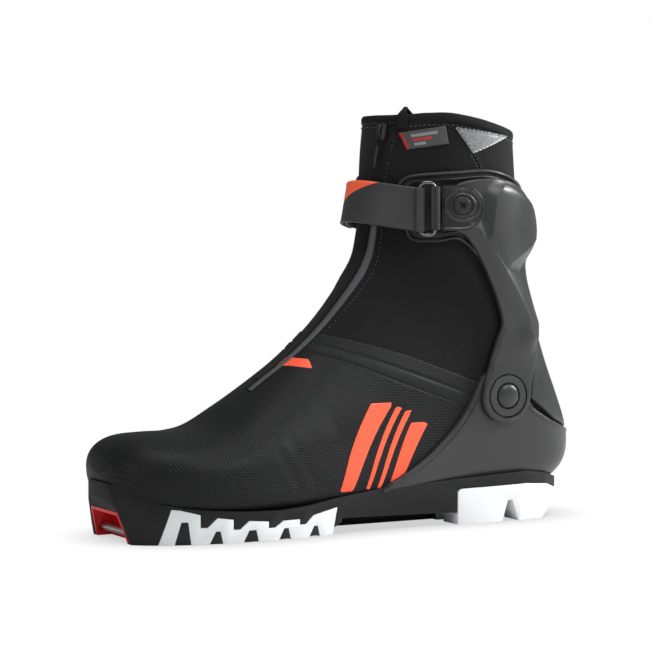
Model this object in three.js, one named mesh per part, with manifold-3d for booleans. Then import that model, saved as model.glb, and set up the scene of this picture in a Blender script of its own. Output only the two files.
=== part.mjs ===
// A skating boot for cross country skis: a left boot with a binding bar at the toe, a zipped soft
// upper, a rigid heel counter and a cuff that hinges on it at the ankle, closed by one strap.
// Millimetres. The toe points along -Y and +X is the outer (lateral) side. Stations are measured from
// the toe tip, and the whole boot is then moved so that the heel's resting point is the origin.
import * as THREE from "three";
import { mergeVertices } from "three/addons/utils/BufferGeometryUtils.js";
import Module from "manifold-3d";

const wasm = await Module();
wasm.setup();

// ---- Driving dimensions ----
const HEEL_STATION = 242; // toe tip to the centre of the heel's resting face
const HALF_SPAN = 70; // half of the width that every side-view cutter covers
const GAP = 0.35; // between neighbours that touch on the real boot
const SKIN = 2.4; // upper material
const LINER = 3.6; // padded inner boot
const COUNTER = 2.2; // heel counter wall
const FRAME = 1.8; // soft rim that lines the cuff
const SHELL = 2.4; // cuff wall
const PIVOT = { y: 240, z: 74.3 }; // ankle hinge, running along X
const SCREW = { y: 206.5, z: 185 }; // strap fixings on the cuff's wings
const BAR = { y: 11.5, z: 5.6, radius: 2.3, halfLength: 20.7 }; // binding bar under the toe
const LEG = { y: 217, a: 40.3, b: 50 }; // oval section of the leg at strap height
const STRAP_OVAL = { y: 217, a: 40.3, b: 53.2 }; // the strap stands off the shin
const TAB_WIDTH = 26;
const STRAP_WIDTH = 25;

// ---- The boot's body: oval sections fanned from the toe, over the instep, up the leg ----
// Each row: front point y, z; back point y, z; half width outside, inside; bluntness at front, back.
const SECTIONS = [
  [0.2, 40, 0.6, 35, 9, 9, 2.4, 2.4],
  [2.2, 49, 3, 27, 21, 22, 2.3, 2.4],
  [8, 54.8, 8, 22.5, 30.5, 31.5, 2.2, 2.7],
  [17, 57.8, 17, 18.5, 37.5, 37.5, 2.2, 3.0],
  [31, 58.6, 32, 15, 44, 41.5, 2.2, 3.3],
  [46, 58.8, 50, 13, 48.5, 43.8, 2.2, 3.4],
  [61, 62.4, 72, 12, 50.6, 45, 2.15, 3.4],
  [78.5, 73, 98, 12, 49.6, 44, 2.1, 3.4],
  [97, 86, 128, 13.5, 45.6, 41.2, 2.0, 3.4],
  [115.6, 99.8, 160, 15.5, 41.5, 38.5, 2.0, 3.4],
  [133, 116, 196, 17, 38.5, 37, 2.0, 3.4],
  [146.8, 133, 234, 18, 36.5, 36, 2.0, 3.4],
  [156.8, 148, 272, 19.5, 36, 35.5, 2.0, 3.3],
  [162.4, 160, 291.5, 29, 36.5, 35.5, 2.0, 3.1],
  [164.8, 170, 295.5, 45, 37, 36.5, 2.0, 2.9],
  [166.2, 178, 289.6, 66, 38, 37.5, 2.0, 2.7],
  [167.3, 188, 278.8, 96, 39, 38.5, 2.0, 2.4],
  [168.3, 200, 266.6, 134, 40, 39.5, 2.0, 2.2],
  [169.2, 212, 265, 172, 40.6, 40, 2.0, 2.1],
  [170.6, 226, 262.6, 205, 41.2, 40.8, 2.0, 2.1],
  [172.6, 242, 260, 234, 42, 41.6, 2.0, 2.1],
  [175, 262, 258.5, 262, 42.8, 42.3, 2.0, 2.1],
];
const LAST_ROW = SECTIONS.length - 1;
const ALONG = 25; // rings of the lofted body
const AROUND = 20; // points on each ring
const CUFF_ALONG = 15; // rings of the part that the cuff follows
const CUFF_ROW = 11; // its first row

// Catmull-Rom interpolation of every column of the table at row u.
function sectionAt(u) {
  const i = Math.min(LAST_ROW - 1, Math.max(0, Math.floor(u)));
  const t = u - i;
  const [a, b, c, d] = [i - 1, i, i + 1, i + 2].map((k) => SECTIONS[Math.min(LAST_ROW, Math.max(0, k))]);
  return b.map((_, k) => {
    const [p, q, r, s] = [a[k], b[k], c[k], d[k]];
    return q + 0.5 * t * (r - p + t * (2 * p - 5 * q + 4 * r - s + t * (3 * (q - r) + s - p)));
  });
}

// A point of the body: angle 0 is the front, a quarter turn the outer side, half a turn the back.
function bodyPoint(u, angle) {
  const [fy, fz, by, bz, outer, inner, frontPower, backPower] = sectionAt(u);
  const cos = Math.cos(angle);
  const sin = Math.sin(angle);
  const power = cos > 0 ? frontPower : backPower;
  const reach = 0.5 * (1 + Math.sign(cos) * Math.abs(cos) ** (2 / power));
  const half = sin > 0 ? outer : inner;
  return new THREE.Vector3(
    Math.sign(sin) * half * Math.abs(sin) ** (2 / power),
    by + (fy - by) * reach,
    bz + (fz - bz) * reach,
  );
}

// The outward normal of the body there.
function bodyNormal(u, angle) {
  const step = 0.02;
  const lo = Math.max(0, u - step * 4);
  const hi = Math.min(LAST_ROW, u + step * 4);
  const along = bodyPoint(hi, angle).sub(bodyPoint(lo, angle));
  const around = bodyPoint(u, angle + step).sub(bodyPoint(u, angle - step));
  return around.cross(along).normalize();
}

const offsetPoint = (u, angle, offset) => bodyPoint(u, angle).addScaledVector(bodyNormal(u, angle), offset);

// ---- Solids ----
// A closed solid from rings of points. An open run is capped at both ends; a looped one joins up.
function ringSolid(rings, looped = false) {
  const count = rings[0].length;
  const positions = rings.flat().flatMap((p) => [p.x, p.y, p.z]);
  const index = [];
  const spans = looped ? rings.length : rings.length - 1;
  for (let i = 0; i < spans; i++) {
    for (let k = 0; k < count; k++) {
      const next = (k + 1) % count;
      const above = ((i + 1) % rings.length) * count;
      index.push(i * count + k, i * count + next, above + next);
      index.push(i * count + k, above + next, above + k);
    }
  }
  if (!looped) {
    for (const [ring, flip] of [[rings[0], true], [rings.at(-1), false]]) {
      const centre = ring.reduce((sum, p) => sum.add(p), new THREE.Vector3()).divideScalar(count);
      const hub = positions.length / 3;
      positions.push(centre.x, centre.y, centre.z);
      const base = flip ? 0 : (rings.length - 1) * count;
      for (let k = 0; k < count; k++) {
        const next = (k + 1) % count;
        index.push(hub, base + (flip ? next : k), base + (flip ? k : next));
      }
    }
  }
  const geometry = new THREE.BufferGeometry();
  geometry.setAttribute("position", new THREE.Float32BufferAttribute(positions, 3));
  geometry.setIndex(index);
  return toSolid(geometry);
}

function toSolid(geometry) {
  const bare = geometry.clone();
  bare.deleteAttribute("normal");
  bare.deleteAttribute("uv");
  const merged = mergeVertices(bare, 1e-4);
  const build = (triVerts) =>
    new wasm.Manifold(
      new wasm.Mesh({ numProp: 3, vertProperties: merged.attributes.position.array, triVerts }),
    );
  const triVerts = new Uint32Array(merged.index.array);
  const made = build(triVerts);
  return made.volume() < 0 ? build(triVerts.reverse()) : made;
}

function toGeometry(solid) {
  const mesh = solid.getMesh();
  const positions = new Float32Array(mesh.numVert * 3);
  for (let i = 0; i < mesh.numVert; i++) {
    positions.set(mesh.vertProperties.subarray(i * mesh.numProp, i * mesh.numProp + 3), i * 3);
  }
  const geometry = new THREE.BufferGeometry();
  geometry.setAttribute("position", new THREE.BufferAttribute(positions, 3));
  geometry.setIndex(new THREE.BufferAttribute(mesh.triVerts, 1));
  geometry.computeVertexNormals();
  return geometry;
}

// The largest body of a solid, so that a boolean's loose crumbs are dropped.
function mainBody(solid) {
  return solid.decompose().reduce((best, body) => (body.volume() > best.volume() ? body : best));
}

// The whole boot's body, grown outwards by an offset (or shrunk, when it is negative).
const bodies = new Map();
function body(offset) {
  if (!bodies.has(offset)) {
    const rings = [];
    for (let i = 0; i <= ALONG; i++) {
      const u = (i / ALONG) * LAST_ROW;
      const ring = [];
      for (let k = 0; k < AROUND; k++) ring.push(offsetPoint(u, (k / AROUND) * 2 * Math.PI, offset));
      rings.push(ring);
    }
    bodies.set(offset, ringSolid(rings));
  }
  return bodies.get(offset);
}
const layer = (inner, outer) => body(outer).subtract(body(inner));

// A closed outline: plain points are corners, and a nested list is a smooth run through its points.
function outline(items) {
  const points = [];
  for (const item of items) {
    if (Array.isArray(item[0])) {
      const run = new THREE.SplineCurve(item.map(([a, b]) => new THREE.Vector2(a, b)));
      points.push(...run.getPoints(item.length));
    } else {
      points.push(new THREE.Vector2(...item));
    }
  }
  return new THREE.Shape(points);
}

// A cutter whose side view is the outline (y, z), covering x from one value to another.
function sideCutter(items, from = -HALF_SPAN, to = HALF_SPAN) {
  const geometry = new THREE.ExtrudeGeometry(outline(items), { depth: to - from, bevelEnabled: false });
  const basis = new THREE.Matrix4().makeBasis(
    new THREE.Vector3(0, 1, 0),
    new THREE.Vector3(0, 0, 1),
    new THREE.Vector3(1, 0, 0),
  );
  geometry.applyMatrix4(basis).translate(from, 0, 0);
  return toSolid(geometry);
}

// A cutter whose plan view is the outline (x, y), covering z from one value to another.
function planCutter(items, from, to) {
  const geometry = new THREE.ExtrudeGeometry(outline(items), { depth: to - from, bevelEnabled: false });
  geometry.translate(0, 0, from);
  return toSolid(geometry);
}

function block(x0, x1, y0, y1, z0, z1) {
  const geometry = new THREE.BoxGeometry(x1 - x0, y1 - y0, z1 - z0);
  geometry.translate((x0 + x1) / 2, (y0 + y1) / 2, (z0 + z1) / 2);
  return toSolid(geometry);
}

// A round bar between two points.
function rod(from, to, radius, sides = 16) {
  const axis = to.clone().sub(from);
  const geometry = new THREE.CylinderGeometry(radius, radius, axis.length(), sides);
  geometry.translate(0, axis.length() / 2, 0);
  const turn = new THREE.Quaternion().setFromUnitVectors(new THREE.Vector3(0, 1, 0), axis.normalize());
  geometry.applyQuaternion(turn).translate(from.x, from.y, from.z);
  return toSolid(geometry);
}

// ---- Outlines shared by several parts ----
// Where the upper meets the sole, from the toe to the heel.
const SOLE_EDGE = [
  [-4, 34.5], [0, 33], [5.5, 30.5], [12.5, 27], [22, 22.6], [35, 20], [50, 18.4], [70, 17], [90, 16.4],
  [109, 17.6], [128, 20.4], [160, 24.1], [197, 25.7], [225, 27.3], [259, 28.7], [276, 26.3], [300, 19],
];
// The soft upper bends between these two lines as the cuff leans: below the first it stays with the
// foot, above the second it moves with the cuff.
const FLEX_LOW = [[100, 153], [320, 59]];
const FLEX_HIGH = [[100, 195], [320, 98]];
// Top edge of the textured vamp, from the instep down to the heel counter.
const VAMP_EDGE = [
  [98, 118], [112, 106.5], [121, 102.3], [131.6, 99], [147.5, 93.8], [166, 86.2], [185, 79.4], [210, 70.5],
  [232, 62],
];
const COLLAR_TOP = [
  [140, 238.4], [173, 237], [190, 238], [203, 238], [220, 235.2], [243, 230.4], [263, 227.4], [290, 227],
];

const belowFlex = [[-30, -10], [320, -10], FLEX_LOW[1], FLEX_LOW[0], [-30, 153]];
const aboveFlex = [FLEX_HIGH[0], FLEX_HIGH[1], [330, 98], [330, 300], [100, 300]];
const counterOutline = [
  [[150, 10], [162, 24], [171.5, 29.6], [186.6, 39.7], [197, 48.4], [208, 59], [214, 67], [219, 75],
    [224, 85]],
  [234, 94], [252, 90],
  [[256, 74], [260, 67], [268, 62], [278, 57.3], [299, 49.5]],
  [320, 44], [320, 10],
];

// ---- Sole ----
const solePlan = [[
  [0, -0.6], [12, -0.3], [19, 2], [25.5, 7], [32, 15], [38, 26], [43.6, 42], [46.8, 60], [47, 78],
  [45.6, 95], [42, 116], [37.6, 140], [35.4, 165], [34.6, 190], [34.6, 216], [34.4, 242], [32.4, 263],
  [26, 280], [15, 290], [0, 293.4], [-15, 290], [-26, 280], [-32, 263], [-34, 242], [-34, 216], [-33.6, 190],
  [-33.8, 165], [-35.6, 140], [-38.6, 116], [-41, 95], [-42, 78], [-41.8, 60], [-40.4, 42], [-37, 26],
  [-32, 15], [-25.5, 7], [-19, 2], [-12, -0.3], [0, -0.6],
]];
const INSERT_WALL = 2;
const GROOVES = { x: 14, width: 8, depth: 5 }; // the two channels that ride on the binding's ridges

// Tread lugs of the forefoot: front and back on the ground, and the height of the step above each.
const LUGS = [
  { front: 37, back: 47, top: 16.4, step: 9.2, rise: 14.4 },
  { front: 54.5, back: 66.5, top: 13.1, step: 7.5, rise: 11.9 },
  { front: 75.7, back: 88.6, top: 10.9, step: 7.2, rise: 10.7 },
  { front: 96.5, back: 109, top: 10.6, step: 7.6, rise: 12.2 },
];
const STRUT = { front: 20.5, back: 28.5, topFront: 27, topBack: 31.5, top: 19.6 };
const LAST_LUG = { front: 116.5, back: 125.5, topBack: 129, top: 15.4 };

// Side view of the forefoot tread, grown by a gap where it meets the sole.
function treadOutline(grow) {
  const upper = [[STRUT.front - grow, 0], [STRUT.topFront - grow, STRUT.top + grow]];
  upper.push([STRUT.topBack, STRUT.top - 0.5 + grow]);
  for (const lug of LUGS) {
    const middle = (lug.front + lug.back) / 2;
    upper.push([middle + grow, lug.top + grow], [middle + grow, lug.step + grow]);
    upper.push([middle + 4, lug.step + grow], [middle + 9.5 - grow, lug.rise + grow]);
  }
  upper.push([LAST_LUG.topBack + grow, LAST_LUG.top + grow], [LAST_LUG.back + grow, 0]);
  const lower = [];
  const feet = [STRUT, ...LUGS, LAST_LUG];
  for (let i = feet.length - 1; i > 0; i--) {
    const roof = i === 1 ? 12.5 : 7.6 - 0.3 * i;
    lower.push([feet[i].front, 0], [feet[i].front - 1.5, roof], [feet[i - 1].back + 3.5, roof]);
    lower.push([feet[i - 1].back, 0]);
  }
  return [...upper, ...lower];
}
const HEEL_TREAD = [
  [213.5, 0], [241, 0], [245.5, 12.4], [248.5, 12.4], [253.5, 0], [271, 0], [291.5, 14.6], [277, 19.8],
  [259, 21.4], [213, 20.6], [211, 19], [211, 7],
];

const soleBlock = () => planCutter(solePlan, 0, 40);
const grooves = () =>
  block(GROOVES.x - GROOVES.width / 2, GROOVES.x + GROOVES.width / 2, 24, 310, -1, GROOVES.depth).add(
    block(-GROOVES.x - GROOVES.width / 2, -GROOVES.x + GROOVES.width / 2, 24, 310, -1, GROOVES.depth),
  );
const TREAD_BAND = 19; // the treads lie outside this distance from the centre line

function forefootTread(side) {
  const near = side > 0 ? [TREAD_BAND, HALF_SPAN] : [-HALF_SPAN, -TREAD_BAND];
  const lugs = soleBlock().intersect(sideCutter(treadOutline(0), ...near));
  return mainBody(lugs.subtract(body(GAP)).subtract(recess(INSERT_WALL + GAP)));
}

// The heel tread is a cup: its floor and its outer wall carry the lugs, and the notch is cut from each side.
function heelTread() {
  const core = soleBlock().intersect(sideCutter([[211, 0], ...HEEL_TREAD.slice(5), [211, 0]]));
  const notch = sideCutter([[241, -1], [245.5, 12.4], [248.5, 12.4], [253.5, -1]]);
  const notches = notch.subtract(block(-GROOVES.x, GROOVES.x, 200, 300, -5, 40));
  const pocket = block(-26, 26, 218, 266, 9, 40);
  return mainBody(core.subtract(notches).subtract(pocket).subtract(grooves()).subtract(body(GAP)));
}

// The recess round the binding bar, and the bright insert that lines it.
const recess = (grow) => {
  const width = (z) => 21 - 0.27 * z + grow; // half width, narrower towards the roof
  const [floor, roof] = [-3, 15.4 + grow];
  const ring = (z, back) =>
    [[-width(z), -10], [width(z), -10], [width(z), back], [-width(z), back]].map(
      ([x, y]) => new THREE.Vector3(x, y, z),
    );
  return ringSolid([ring(floor, 16.5 + grow), ring(8, 18 + grow), ring(roof, 15 + grow)]);
};
const TOE_FACE = [[8.6, -1], [6, 8], [0.5, 25.5], [-0.8, 34], [-0.8, 60], [330, 60], [330, -1]];
const toeFace = () => sideCutter(TOE_FACE);

function outsole() {
  const profile = [
    ...SOLE_EDGE, [300, 13], [292, 15.1], [276.6, 20.3], [259, 22], [213, 21.4],
    [210.4, 19.8], [210.4, 7], [199, 6.6], [165, 8], [136, 8.8], [120, 0.8], [30, 0], [27, 0], [11, 0],
    [-6, 0],
  ];
  const keel = block(-GROOVES.x, GROOVES.x, 100, 210, 0.8, 14).intersect(soleBlock());
  const arches = block(-60, -10, 132, 208.5, -1, 12).add(block(10, 60, 132, 208.5, -1, 12));
  const heelCore = block(-25.6, 25.6, 218.4, 265.6, 9.4, 24);
  let made = soleBlock().intersect(sideCutter(profile)).intersect(toeFace());
  made = made.add(keel).add(heelCore).subtract(body(GAP));
  made = made.subtract(sideCutter(treadOutline(GAP), TREAD_BAND - GAP, HALF_SPAN));
  made = made.subtract(sideCutter(treadOutline(GAP), -HALF_SPAN, -TREAD_BAND + GAP));
  made = made.subtract(arches.subtract(sideCutter([[120, 30], [120, 9], [215, 7], [215, 30]])));
  return mainBody(made.subtract(grooves()).subtract(recess(INSERT_WALL + GAP)));
}

function toeInsert() {
  const [left, right] = [-30, 30].map((x) => new THREE.Vector3(x, BAR.y, BAR.z));
  const hole = rod(left, right, BAR.radius + GAP);
  const outer = recess(INSERT_WALL).intersect(soleBlock()).intersect(toeFace());
  const belowGround = block(-60, 60, -20, 60, -10, 0);
  return mainBody(outer.subtract(belowGround).subtract(recess(0)).subtract(body(GAP + 0.4)).subtract(hole));
}

const toeBar = () =>
  rod(
    new THREE.Vector3(-BAR.halfLength, BAR.y, BAR.z),
    new THREE.Vector3(BAR.halfLength, BAR.y, BAR.z),
    BAR.radius,
  );

// ---- Soft upper ----
const skin = () => layer(-SKIN, 0);
// Room for the heads of the pivot studs, inside the counter.
const studPockets = () => pivotRod(9.4, 31.4, HALF_SPAN).add(pivotRod(9.4, -HALF_SPAN, -31.4));

function vamp() {
  const region = sideCutter([[-30, -10], [260, -10], [232, 62], ...VAMP_EDGE.slice().reverse(), [-30, 140]]);
  return mainBody(skin().intersect(region));
}

function ankleCover() {
  const vampTop = raised(VAMP_EDGE, GAP).reverse();
  const under = sideCutter([[-30, -10], [260, -10], [232, 62 + GAP], ...vampTop, [-30, 140]]);
  const cover = skin().intersect(sideCutter(belowFlex)).subtract(under);
  return mainBody(cover.subtract(sideCutter(BEHIND_ANKLE)).subtract(studPockets()));
}

const raised = (points, up) => points.map(([y, z]) => [y, z + up]);
// Everything behind the ankle and below the cuff: the smooth panel over the tendon.
const BEHIND_ANKLE = [[262, -20], [262, 70], [277, 130], [340, 130], [340, -20]];

// The top edge of the sock inside the heel cup.
const CUP_TOP = [[278, 58.9], [302, 50.1], [340, 50.1]];

// The padded panel over the tendon stands as far out as the cuff above it.
const PANEL = 2.2;
function achillesPanel() {
  const sides = sideCutter([[262.3, 40], [262.3, 70], [273.2, 113], [340, 113], [340, 40]]);
  const aboveCup = sideCutter([[200, 96], [262, 70.5], ...raised(CUP_TOP, 0.4), [340, 160], [200, 160]]);
  return mainBody(layer(-SKIN, PANEL).intersect(sides).intersect(aboveCup));
}

function heelSock() {
  const inCup = sideCutter([[262.3, -20], [262.3, 69.8], ...raised(CUP_TOP, -0.3), [340, -20]]);
  return mainBody(skin().intersect(inCup));
}

// The zone that folds as the cuff leans.
const flexZone = () => [...raised(FLEX_LOW, GAP), ...raised(FLEX_HIGH, -GAP).reverse()];
const BEHIND_GUSSET = [[261.9, 0], [261.9, 70], [276, 125.4], [340, 125.4], [340, 0]];
function ankleGusset() {
  return mainBody(skin().intersect(sideCutter(flexZone())).subtract(sideCutter(BEHIND_GUSSET)));
}

const BINDING = 4; // height of the binding along the collar's top edge
const belowCollarTop = (up) => sideCutter([...raised(COLLAR_TOP, up), [300, -10], [100, -10]]);
const collarWall = (wall) =>
  mainBody(wall.intersect(sideCutter(aboveFlex)).intersect(belowCollarTop(-BINDING)));
const collar = () => collarWall(skin());
const collarLining = () => collarWall(layer(-SKIN - LINER, -SKIN - GAP));

function collarBinding() {
  const wall = layer(-SKIN - LINER, 0.4).intersect(belowCollarTop(0));
  return mainBody(wall.subtract(belowCollarTop(GAP - BINDING)));
}

// ---- Inside ----
const LINER_IN = SKIN + GAP + LINER;
// The instep is open between the eyelet rows, over the tongue.
const INSTEP_SLOT = [[86, 70], [86, 104], [150, 160], [162, 126], [132, 86]];
// The stiff board under the foot is flat on top; the inner boot is trimmed to sit on it.
const BOARD_TOP = [
  [20, 24.5], [33, 20.6], [51, 18.2], [75, 17.4], [98, 17.4], [128, 18.9], [160, 20.8], [196, 22.3],
  [234, 23.3], [270, 25],
];
const underBoard = (up) => sideCutter([...raised(BOARD_TOP, up), [270, 0], [20, 0]]);
const lastingBoard = () =>
  mainBody(body(-SKIN - GAP - 0.3).intersect(underBoard(0)).intersect(block(-60, 60, 27, 268, 0, 40)));
function innerBoot() {
  const low = sideCutter([[-30, -10], [330, -10], [330, 50], [262, 78], [100, 148], [-30, 148]]);
  const lined = body(-SKIN - GAP).subtract(body(-LINER_IN)).intersect(low);
  const slotted = lined.subtract(sideCutter(INSTEP_SLOT, -15, 15));
  return mainBody(slotted.subtract(underBoard(GAP)).subtract(studPockets()));
}

function footbed() {
  const inside = body(-LINER_IN - GAP);
  const lifted = inside.translate([0, 0, 3.4]);
  const low = sideCutter([[12, 0], [12, 30], [60, 25.5], [150, 27.5], [284, 31], [284, 0]]);
  return mainBody(inside.subtract(lifted).intersect(low));
}

// ---- Strips laid on the front of the body ----
// The angle at which row u of the body has the given x, on its front.
function angleAtX(u, x) {
  const [, , , , outer, inner, power] = sectionAt(u);
  return Math.sign(x) * Math.asin(Math.min(1, Math.abs(x) / (x > 0 ? outer : inner)) ** (power / 2));
}
// A flat strip that follows the front between two rows, from x0(u) to x1(u), between two offsets.
function frontStrip(u0, u1, x0, x1, low, high, steps) {
  const rings = [];
  for (let i = 0; i <= steps; i++) {
    const u = u0 + ((u1 - u0) * i) / steps;
    const [a, b] = [angleAtX(u, x0(u)), angleAtX(u, x1(u))];
    const corners = [[a, low], [b, low], [b, high], [a, high]];
    rings.push(corners.map(([angle, offset]) => offsetPoint(u, angle, offset)));
  }
  return ringSolid(rings);
}
// The zip runs down the outer side of the shin and comes to the middle over the instep.
const ZIP_ROWS = { toe: 7.6, top: 19.2 };
const zipX = (u) => (u > 16 ? 9 + 8 * ((u - 16) / 4) ** 1.6 : 9 - 3 * Math.min(1, Math.max(0, (12 - u) / 4)));
function zip(part) {
  const strip = frontStrip(ZIP_ROWS.toe, ZIP_ROWS.top, (u) => zipX(u) - 5, (u) => zipX(u) + 5, -3, 6, 12);
  return mainBody(strip.intersect(layer(GAP, 1.5)).intersect(sideCutter(part)));
}

// ---- Tongue and lace, between the inner boot and the cover ----
const UNDER_LINER = -LINER_IN - GAP;
const tongue = () => frontStrip(6.9, 10.3, () => -20, () => 20, UNDER_LINER - 2.6, UNDER_LINER - 0.4, 8);
function lace() {
  const passes = 8;
  const [radius, stretch] = [1.1, 2.6]; // each pass crosses the slot at a slant, so its section widens
  const rings = [];
  for (let i = 0; i <= passes; i++) {
    const u = 7.7 + (i / passes) * 2.3;
    const angle = angleAtX(u, i % 2 ? 9.5 : -9.5);
    const [centre, normal] = [offsetPoint(u, angle, -SKIN - GAP - 2.2), bodyNormal(u, angle)];
    rings.push(
      Array.from({ length: 8 }, (_, k) => {
        const turn = (k / 8) * 2 * Math.PI;
        const around = new THREE.Vector3(radius * stretch * Math.cos(turn), 0, 0);
        return centre.clone().add(around).addScaledVector(normal, radius * Math.sin(turn));
      }),
    );
  }
  return ringSolid(rings);
}

// ---- Heel counter and cuff ----
const COUNTER_OUT = GAP + COUNTER;
const FRAME_IN = 0.9;
const FRAME_OUT = FRAME_IN + FRAME;
const SHELL_IN = FRAME_OUT + GAP;
const SHELL_OUT = SHELL_IN + SHELL;
const ARM_IN = COUNTER_OUT + 0.9;

const pivotRod = (radius, from, to) =>
  rod(new THREE.Vector3(from, PIVOT.y, PIVOT.z), new THREE.Vector3(to, PIVOT.y, PIVOT.z), radius, 20);

const STUD_RADIUS = 5;
function heelCounter() {
  const cup = layer(GAP, COUNTER_OUT).intersect(sideCutter(counterOutline));
  const wall = cup.intersect(sideCutter(aboveSoleBy(GAP)));
  return mainBody(wall.subtract(pivotRod(STUD_RADIUS + GAP, -HALF_SPAN, HALF_SPAN)));
}
function aboveSoleBy(up) {
  return [...raised(SOLE_EDGE, up), [320, 300], [-20, 300]];
}

// Side view of the hard cuff: the wings, the spine and the two arms that reach down to the pivots.
const PIVOT_EYE = 16;
const cuffOutline = [
  [[196, 178], [203, 171], [210, 167], [216, 160], [221, 152], [228, 139], [233, 127], [235.7, 117],
    [233, 108], [229, 96], [226, 86], [224.3, 78], [224, 71], [227, 64.5], [232.5, 60], [240, 58.3],
    [248, 60.5], [253.8, 66], [256.3, 75], [258, 86]],
  [[261.5, 98], [265.5, 108], [270, 114.5], [278, 118], [300, 118.5]],
  [300, 190],
  [[290, 181], [276, 184.5], [262, 191], [250, 196.5], [240, 199.5], [228, 200.5], [214, 199.8], [204, 197],
    [198, 190], [196, 184]],
];
const frameOutline = [
  [[186, 163.4], [196, 163.6], [206, 165], [214, 160], [222, 152]],
  [262, 142], [300, 120], [300, 184],
  [[275, 187.5], [261, 195], [250, 200], [239, 203.5], [224, 206], [205, 204.8], [183, 203], [177.6, 200.6],
    [175.4, 196], [176.6, 184], [179.4, 170], [181.6, 165.4], [186, 163.4]],
];
// Stations behind the leg where the cuff bulges out from the body.
function cuffBody(offset, bulge) {
  const rings = [];
  for (let i = 0; i <= CUFF_ALONG; i++) {
    const u = CUFF_ROW + (i / CUFF_ALONG) * (LAST_ROW - CUFF_ROW);
    const ring = [];
    for (let k = 0; k < AROUND; k++) {
      const angle = (k / AROUND) * 2 * Math.PI;
      const point = offsetPoint(u, angle, offset);
      const behind = Math.max(0, -Math.cos(angle)) ** 2;
      point.y += bulge * behind * Math.exp(-(((point.z - 171) / 13) ** 2));
      ring.push(point);
    }
    rings.push(ring);
  }
  return ringSolid(rings);
}

const screwSeat = (side, radius) => {
  const { point, normal } = wingPoint(side, SCREW.y, SHELL_OUT);
  return rod(point.clone().addScaledVector(normal, -14), point.clone().addScaledVector(normal, 12), radius);
};

function cuffShell() {
  const upper = cuffBody(SHELL_OUT, 6.4).subtract(cuffBody(SHELL_IN, 5.6)).intersect(
    sideCutter([[150, 100], [228, 100], [252, 112], [330, 100], [330, 260], [150, 260]]),
  );
  const arms = layer(ARM_IN, SHELL_OUT + 0.4).intersect(
    sideCutter([[200, 40], [275, 40], [275, 108], [252, 113.5], [228, 101.5], [200, 101.5]]),
  );
  const blank = upper.add(arms).intersect(sideCutter(cuffOutline));
  const eye = pivotRod(STUD_RADIUS + 0.5, -HALF_SPAN, HALF_SPAN);
  return mainBody(blank.subtract(eye).subtract(screwSeat(1, 2.4)).subtract(screwSeat(-1, 2.4)));
}

function cuffFrame() {
  const wall = cuffBody(FRAME_OUT, 2.6).subtract(cuffBody(FRAME_IN, 2)).intersect(sideCutter(frameOutline));
  return mainBody(wall.subtract(screwSeat(1, 2.4)).subtract(screwSeat(-1, 2.4)));
}

function pivotWasher(side) {
  const from = side * (pivotFace + 0.3);
  const to = side * (pivotFace + 1.7);
  return pivotRod(12.4, from, to).subtract(pivotRod(7.6, -HALF_SPAN, HALF_SPAN));
}
// The outside face of the arm at the pivot.
const pivotFace = 42.6;
const pivotStud = (side) => {
  const shank = pivotRod(STUD_RADIUS, side * 33.6, side * (pivotFace + 1));
  const head = pivotRod(7.2, side * (pivotFace + 0.3), side * (pivotFace + 2.2));
  const foot = pivotRod(9, side * 31.8, side * 33.8);
  return shank.add(head).add(foot);
};

// ---- Strap closure on the wings ----
// A point of the leg oval at an angle: 0 is the outer side, a quarter turn the front.
function legPoint(angle, offset, z, oval = LEG) {
  return new THREE.Vector3(
    (oval.a + offset) * Math.cos(angle),
    oval.y - (oval.b + offset) * Math.sin(angle),
    z,
  );
}
function wingPoint(side, y, offset) {
  const angle = Math.asin((LEG.y - y) / (LEG.b + offset));
  const point = legPoint(angle, offset, SCREW.z);
  const normal = new THREE.Vector3(Math.cos(angle) / LEG.a, -Math.sin(angle) / LEG.b, 0).normalize();
  point.x *= side;
  normal.x *= side;
  return { point, normal };
}
// A curved plate round the leg, from one angle to another; its middle height and half width may vary.
function legBand(from, to, low, high, middle, half, steps, oval = LEG) {
  const rings = [];
  for (let i = 0; i <= steps; i++) {
    const angle = from + ((to - from) * i) / steps;
    const [z, h] = [middle(angle), half(angle)];
    const corners = [[low, z - h], [high, z - h], [high, z + h], [low, z + h]];
    rings.push(corners.map(([offset, height]) => legPoint(angle, offset, height, oval)));
  }
  return ringSolid(rings);
}
const degrees = THREE.MathUtils.degToRad;
const TAB = { low: SHELL_OUT + 0.3, high: SHELL_OUT + 2.3, from: degrees(-2), to: degrees(24) };
const WIRE = 1;
const RING_ANGLE = degrees(27.5); // rear wire of the ring, held in the tab's fold
const RING_REACH = 8.6;
const STRAP_INNER = { low: 2.6, high: 3.8 };
const STRAP_OUTER = { low: 5, high: 6.4 };
const STRAP_MIDDLE = (angle) => 181.5 + 5 * Math.max(0, Math.sin(angle)) ** 3;

const rearWire = legPoint(RING_ANGLE, 7.3, 0);
const ringForward = new THREE.Vector3(-Math.sin(degrees(31)), -Math.cos(degrees(31)), 0);
const frontWire = rearWire.clone().addScaledVector(ringForward, RING_REACH);
const at = (p, z) => new THREE.Vector3(p.x, p.y, z);

function buckleTab() {
  const reach = (angle) => {
    const along = (angle - TAB.from) / (TAB.to - TAB.from);
    const round = 0.55;
    return (TAB_WIDTH / 2) * (along > round ? 1 : Math.sqrt(1 - (1 - along / round) ** 2) * 0.97 + 0.03);
  };
  const plate = legBand(TAB.from, TAB.to, TAB.low, TAB.high, () => SCREW.z - 1.5, reach, 10);
  const fold = rod(at(rearWire, SCREW.z - 14), at(rearWire, SCREW.z + 11), 3.1);
  const hole = rod(at(rearWire, 150), at(rearWire, 220), WIRE + 0.35, 16);
  return mainBody(plate.add(fold).subtract(hole).subtract(screwSeat(1, 2.4)));
}

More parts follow.
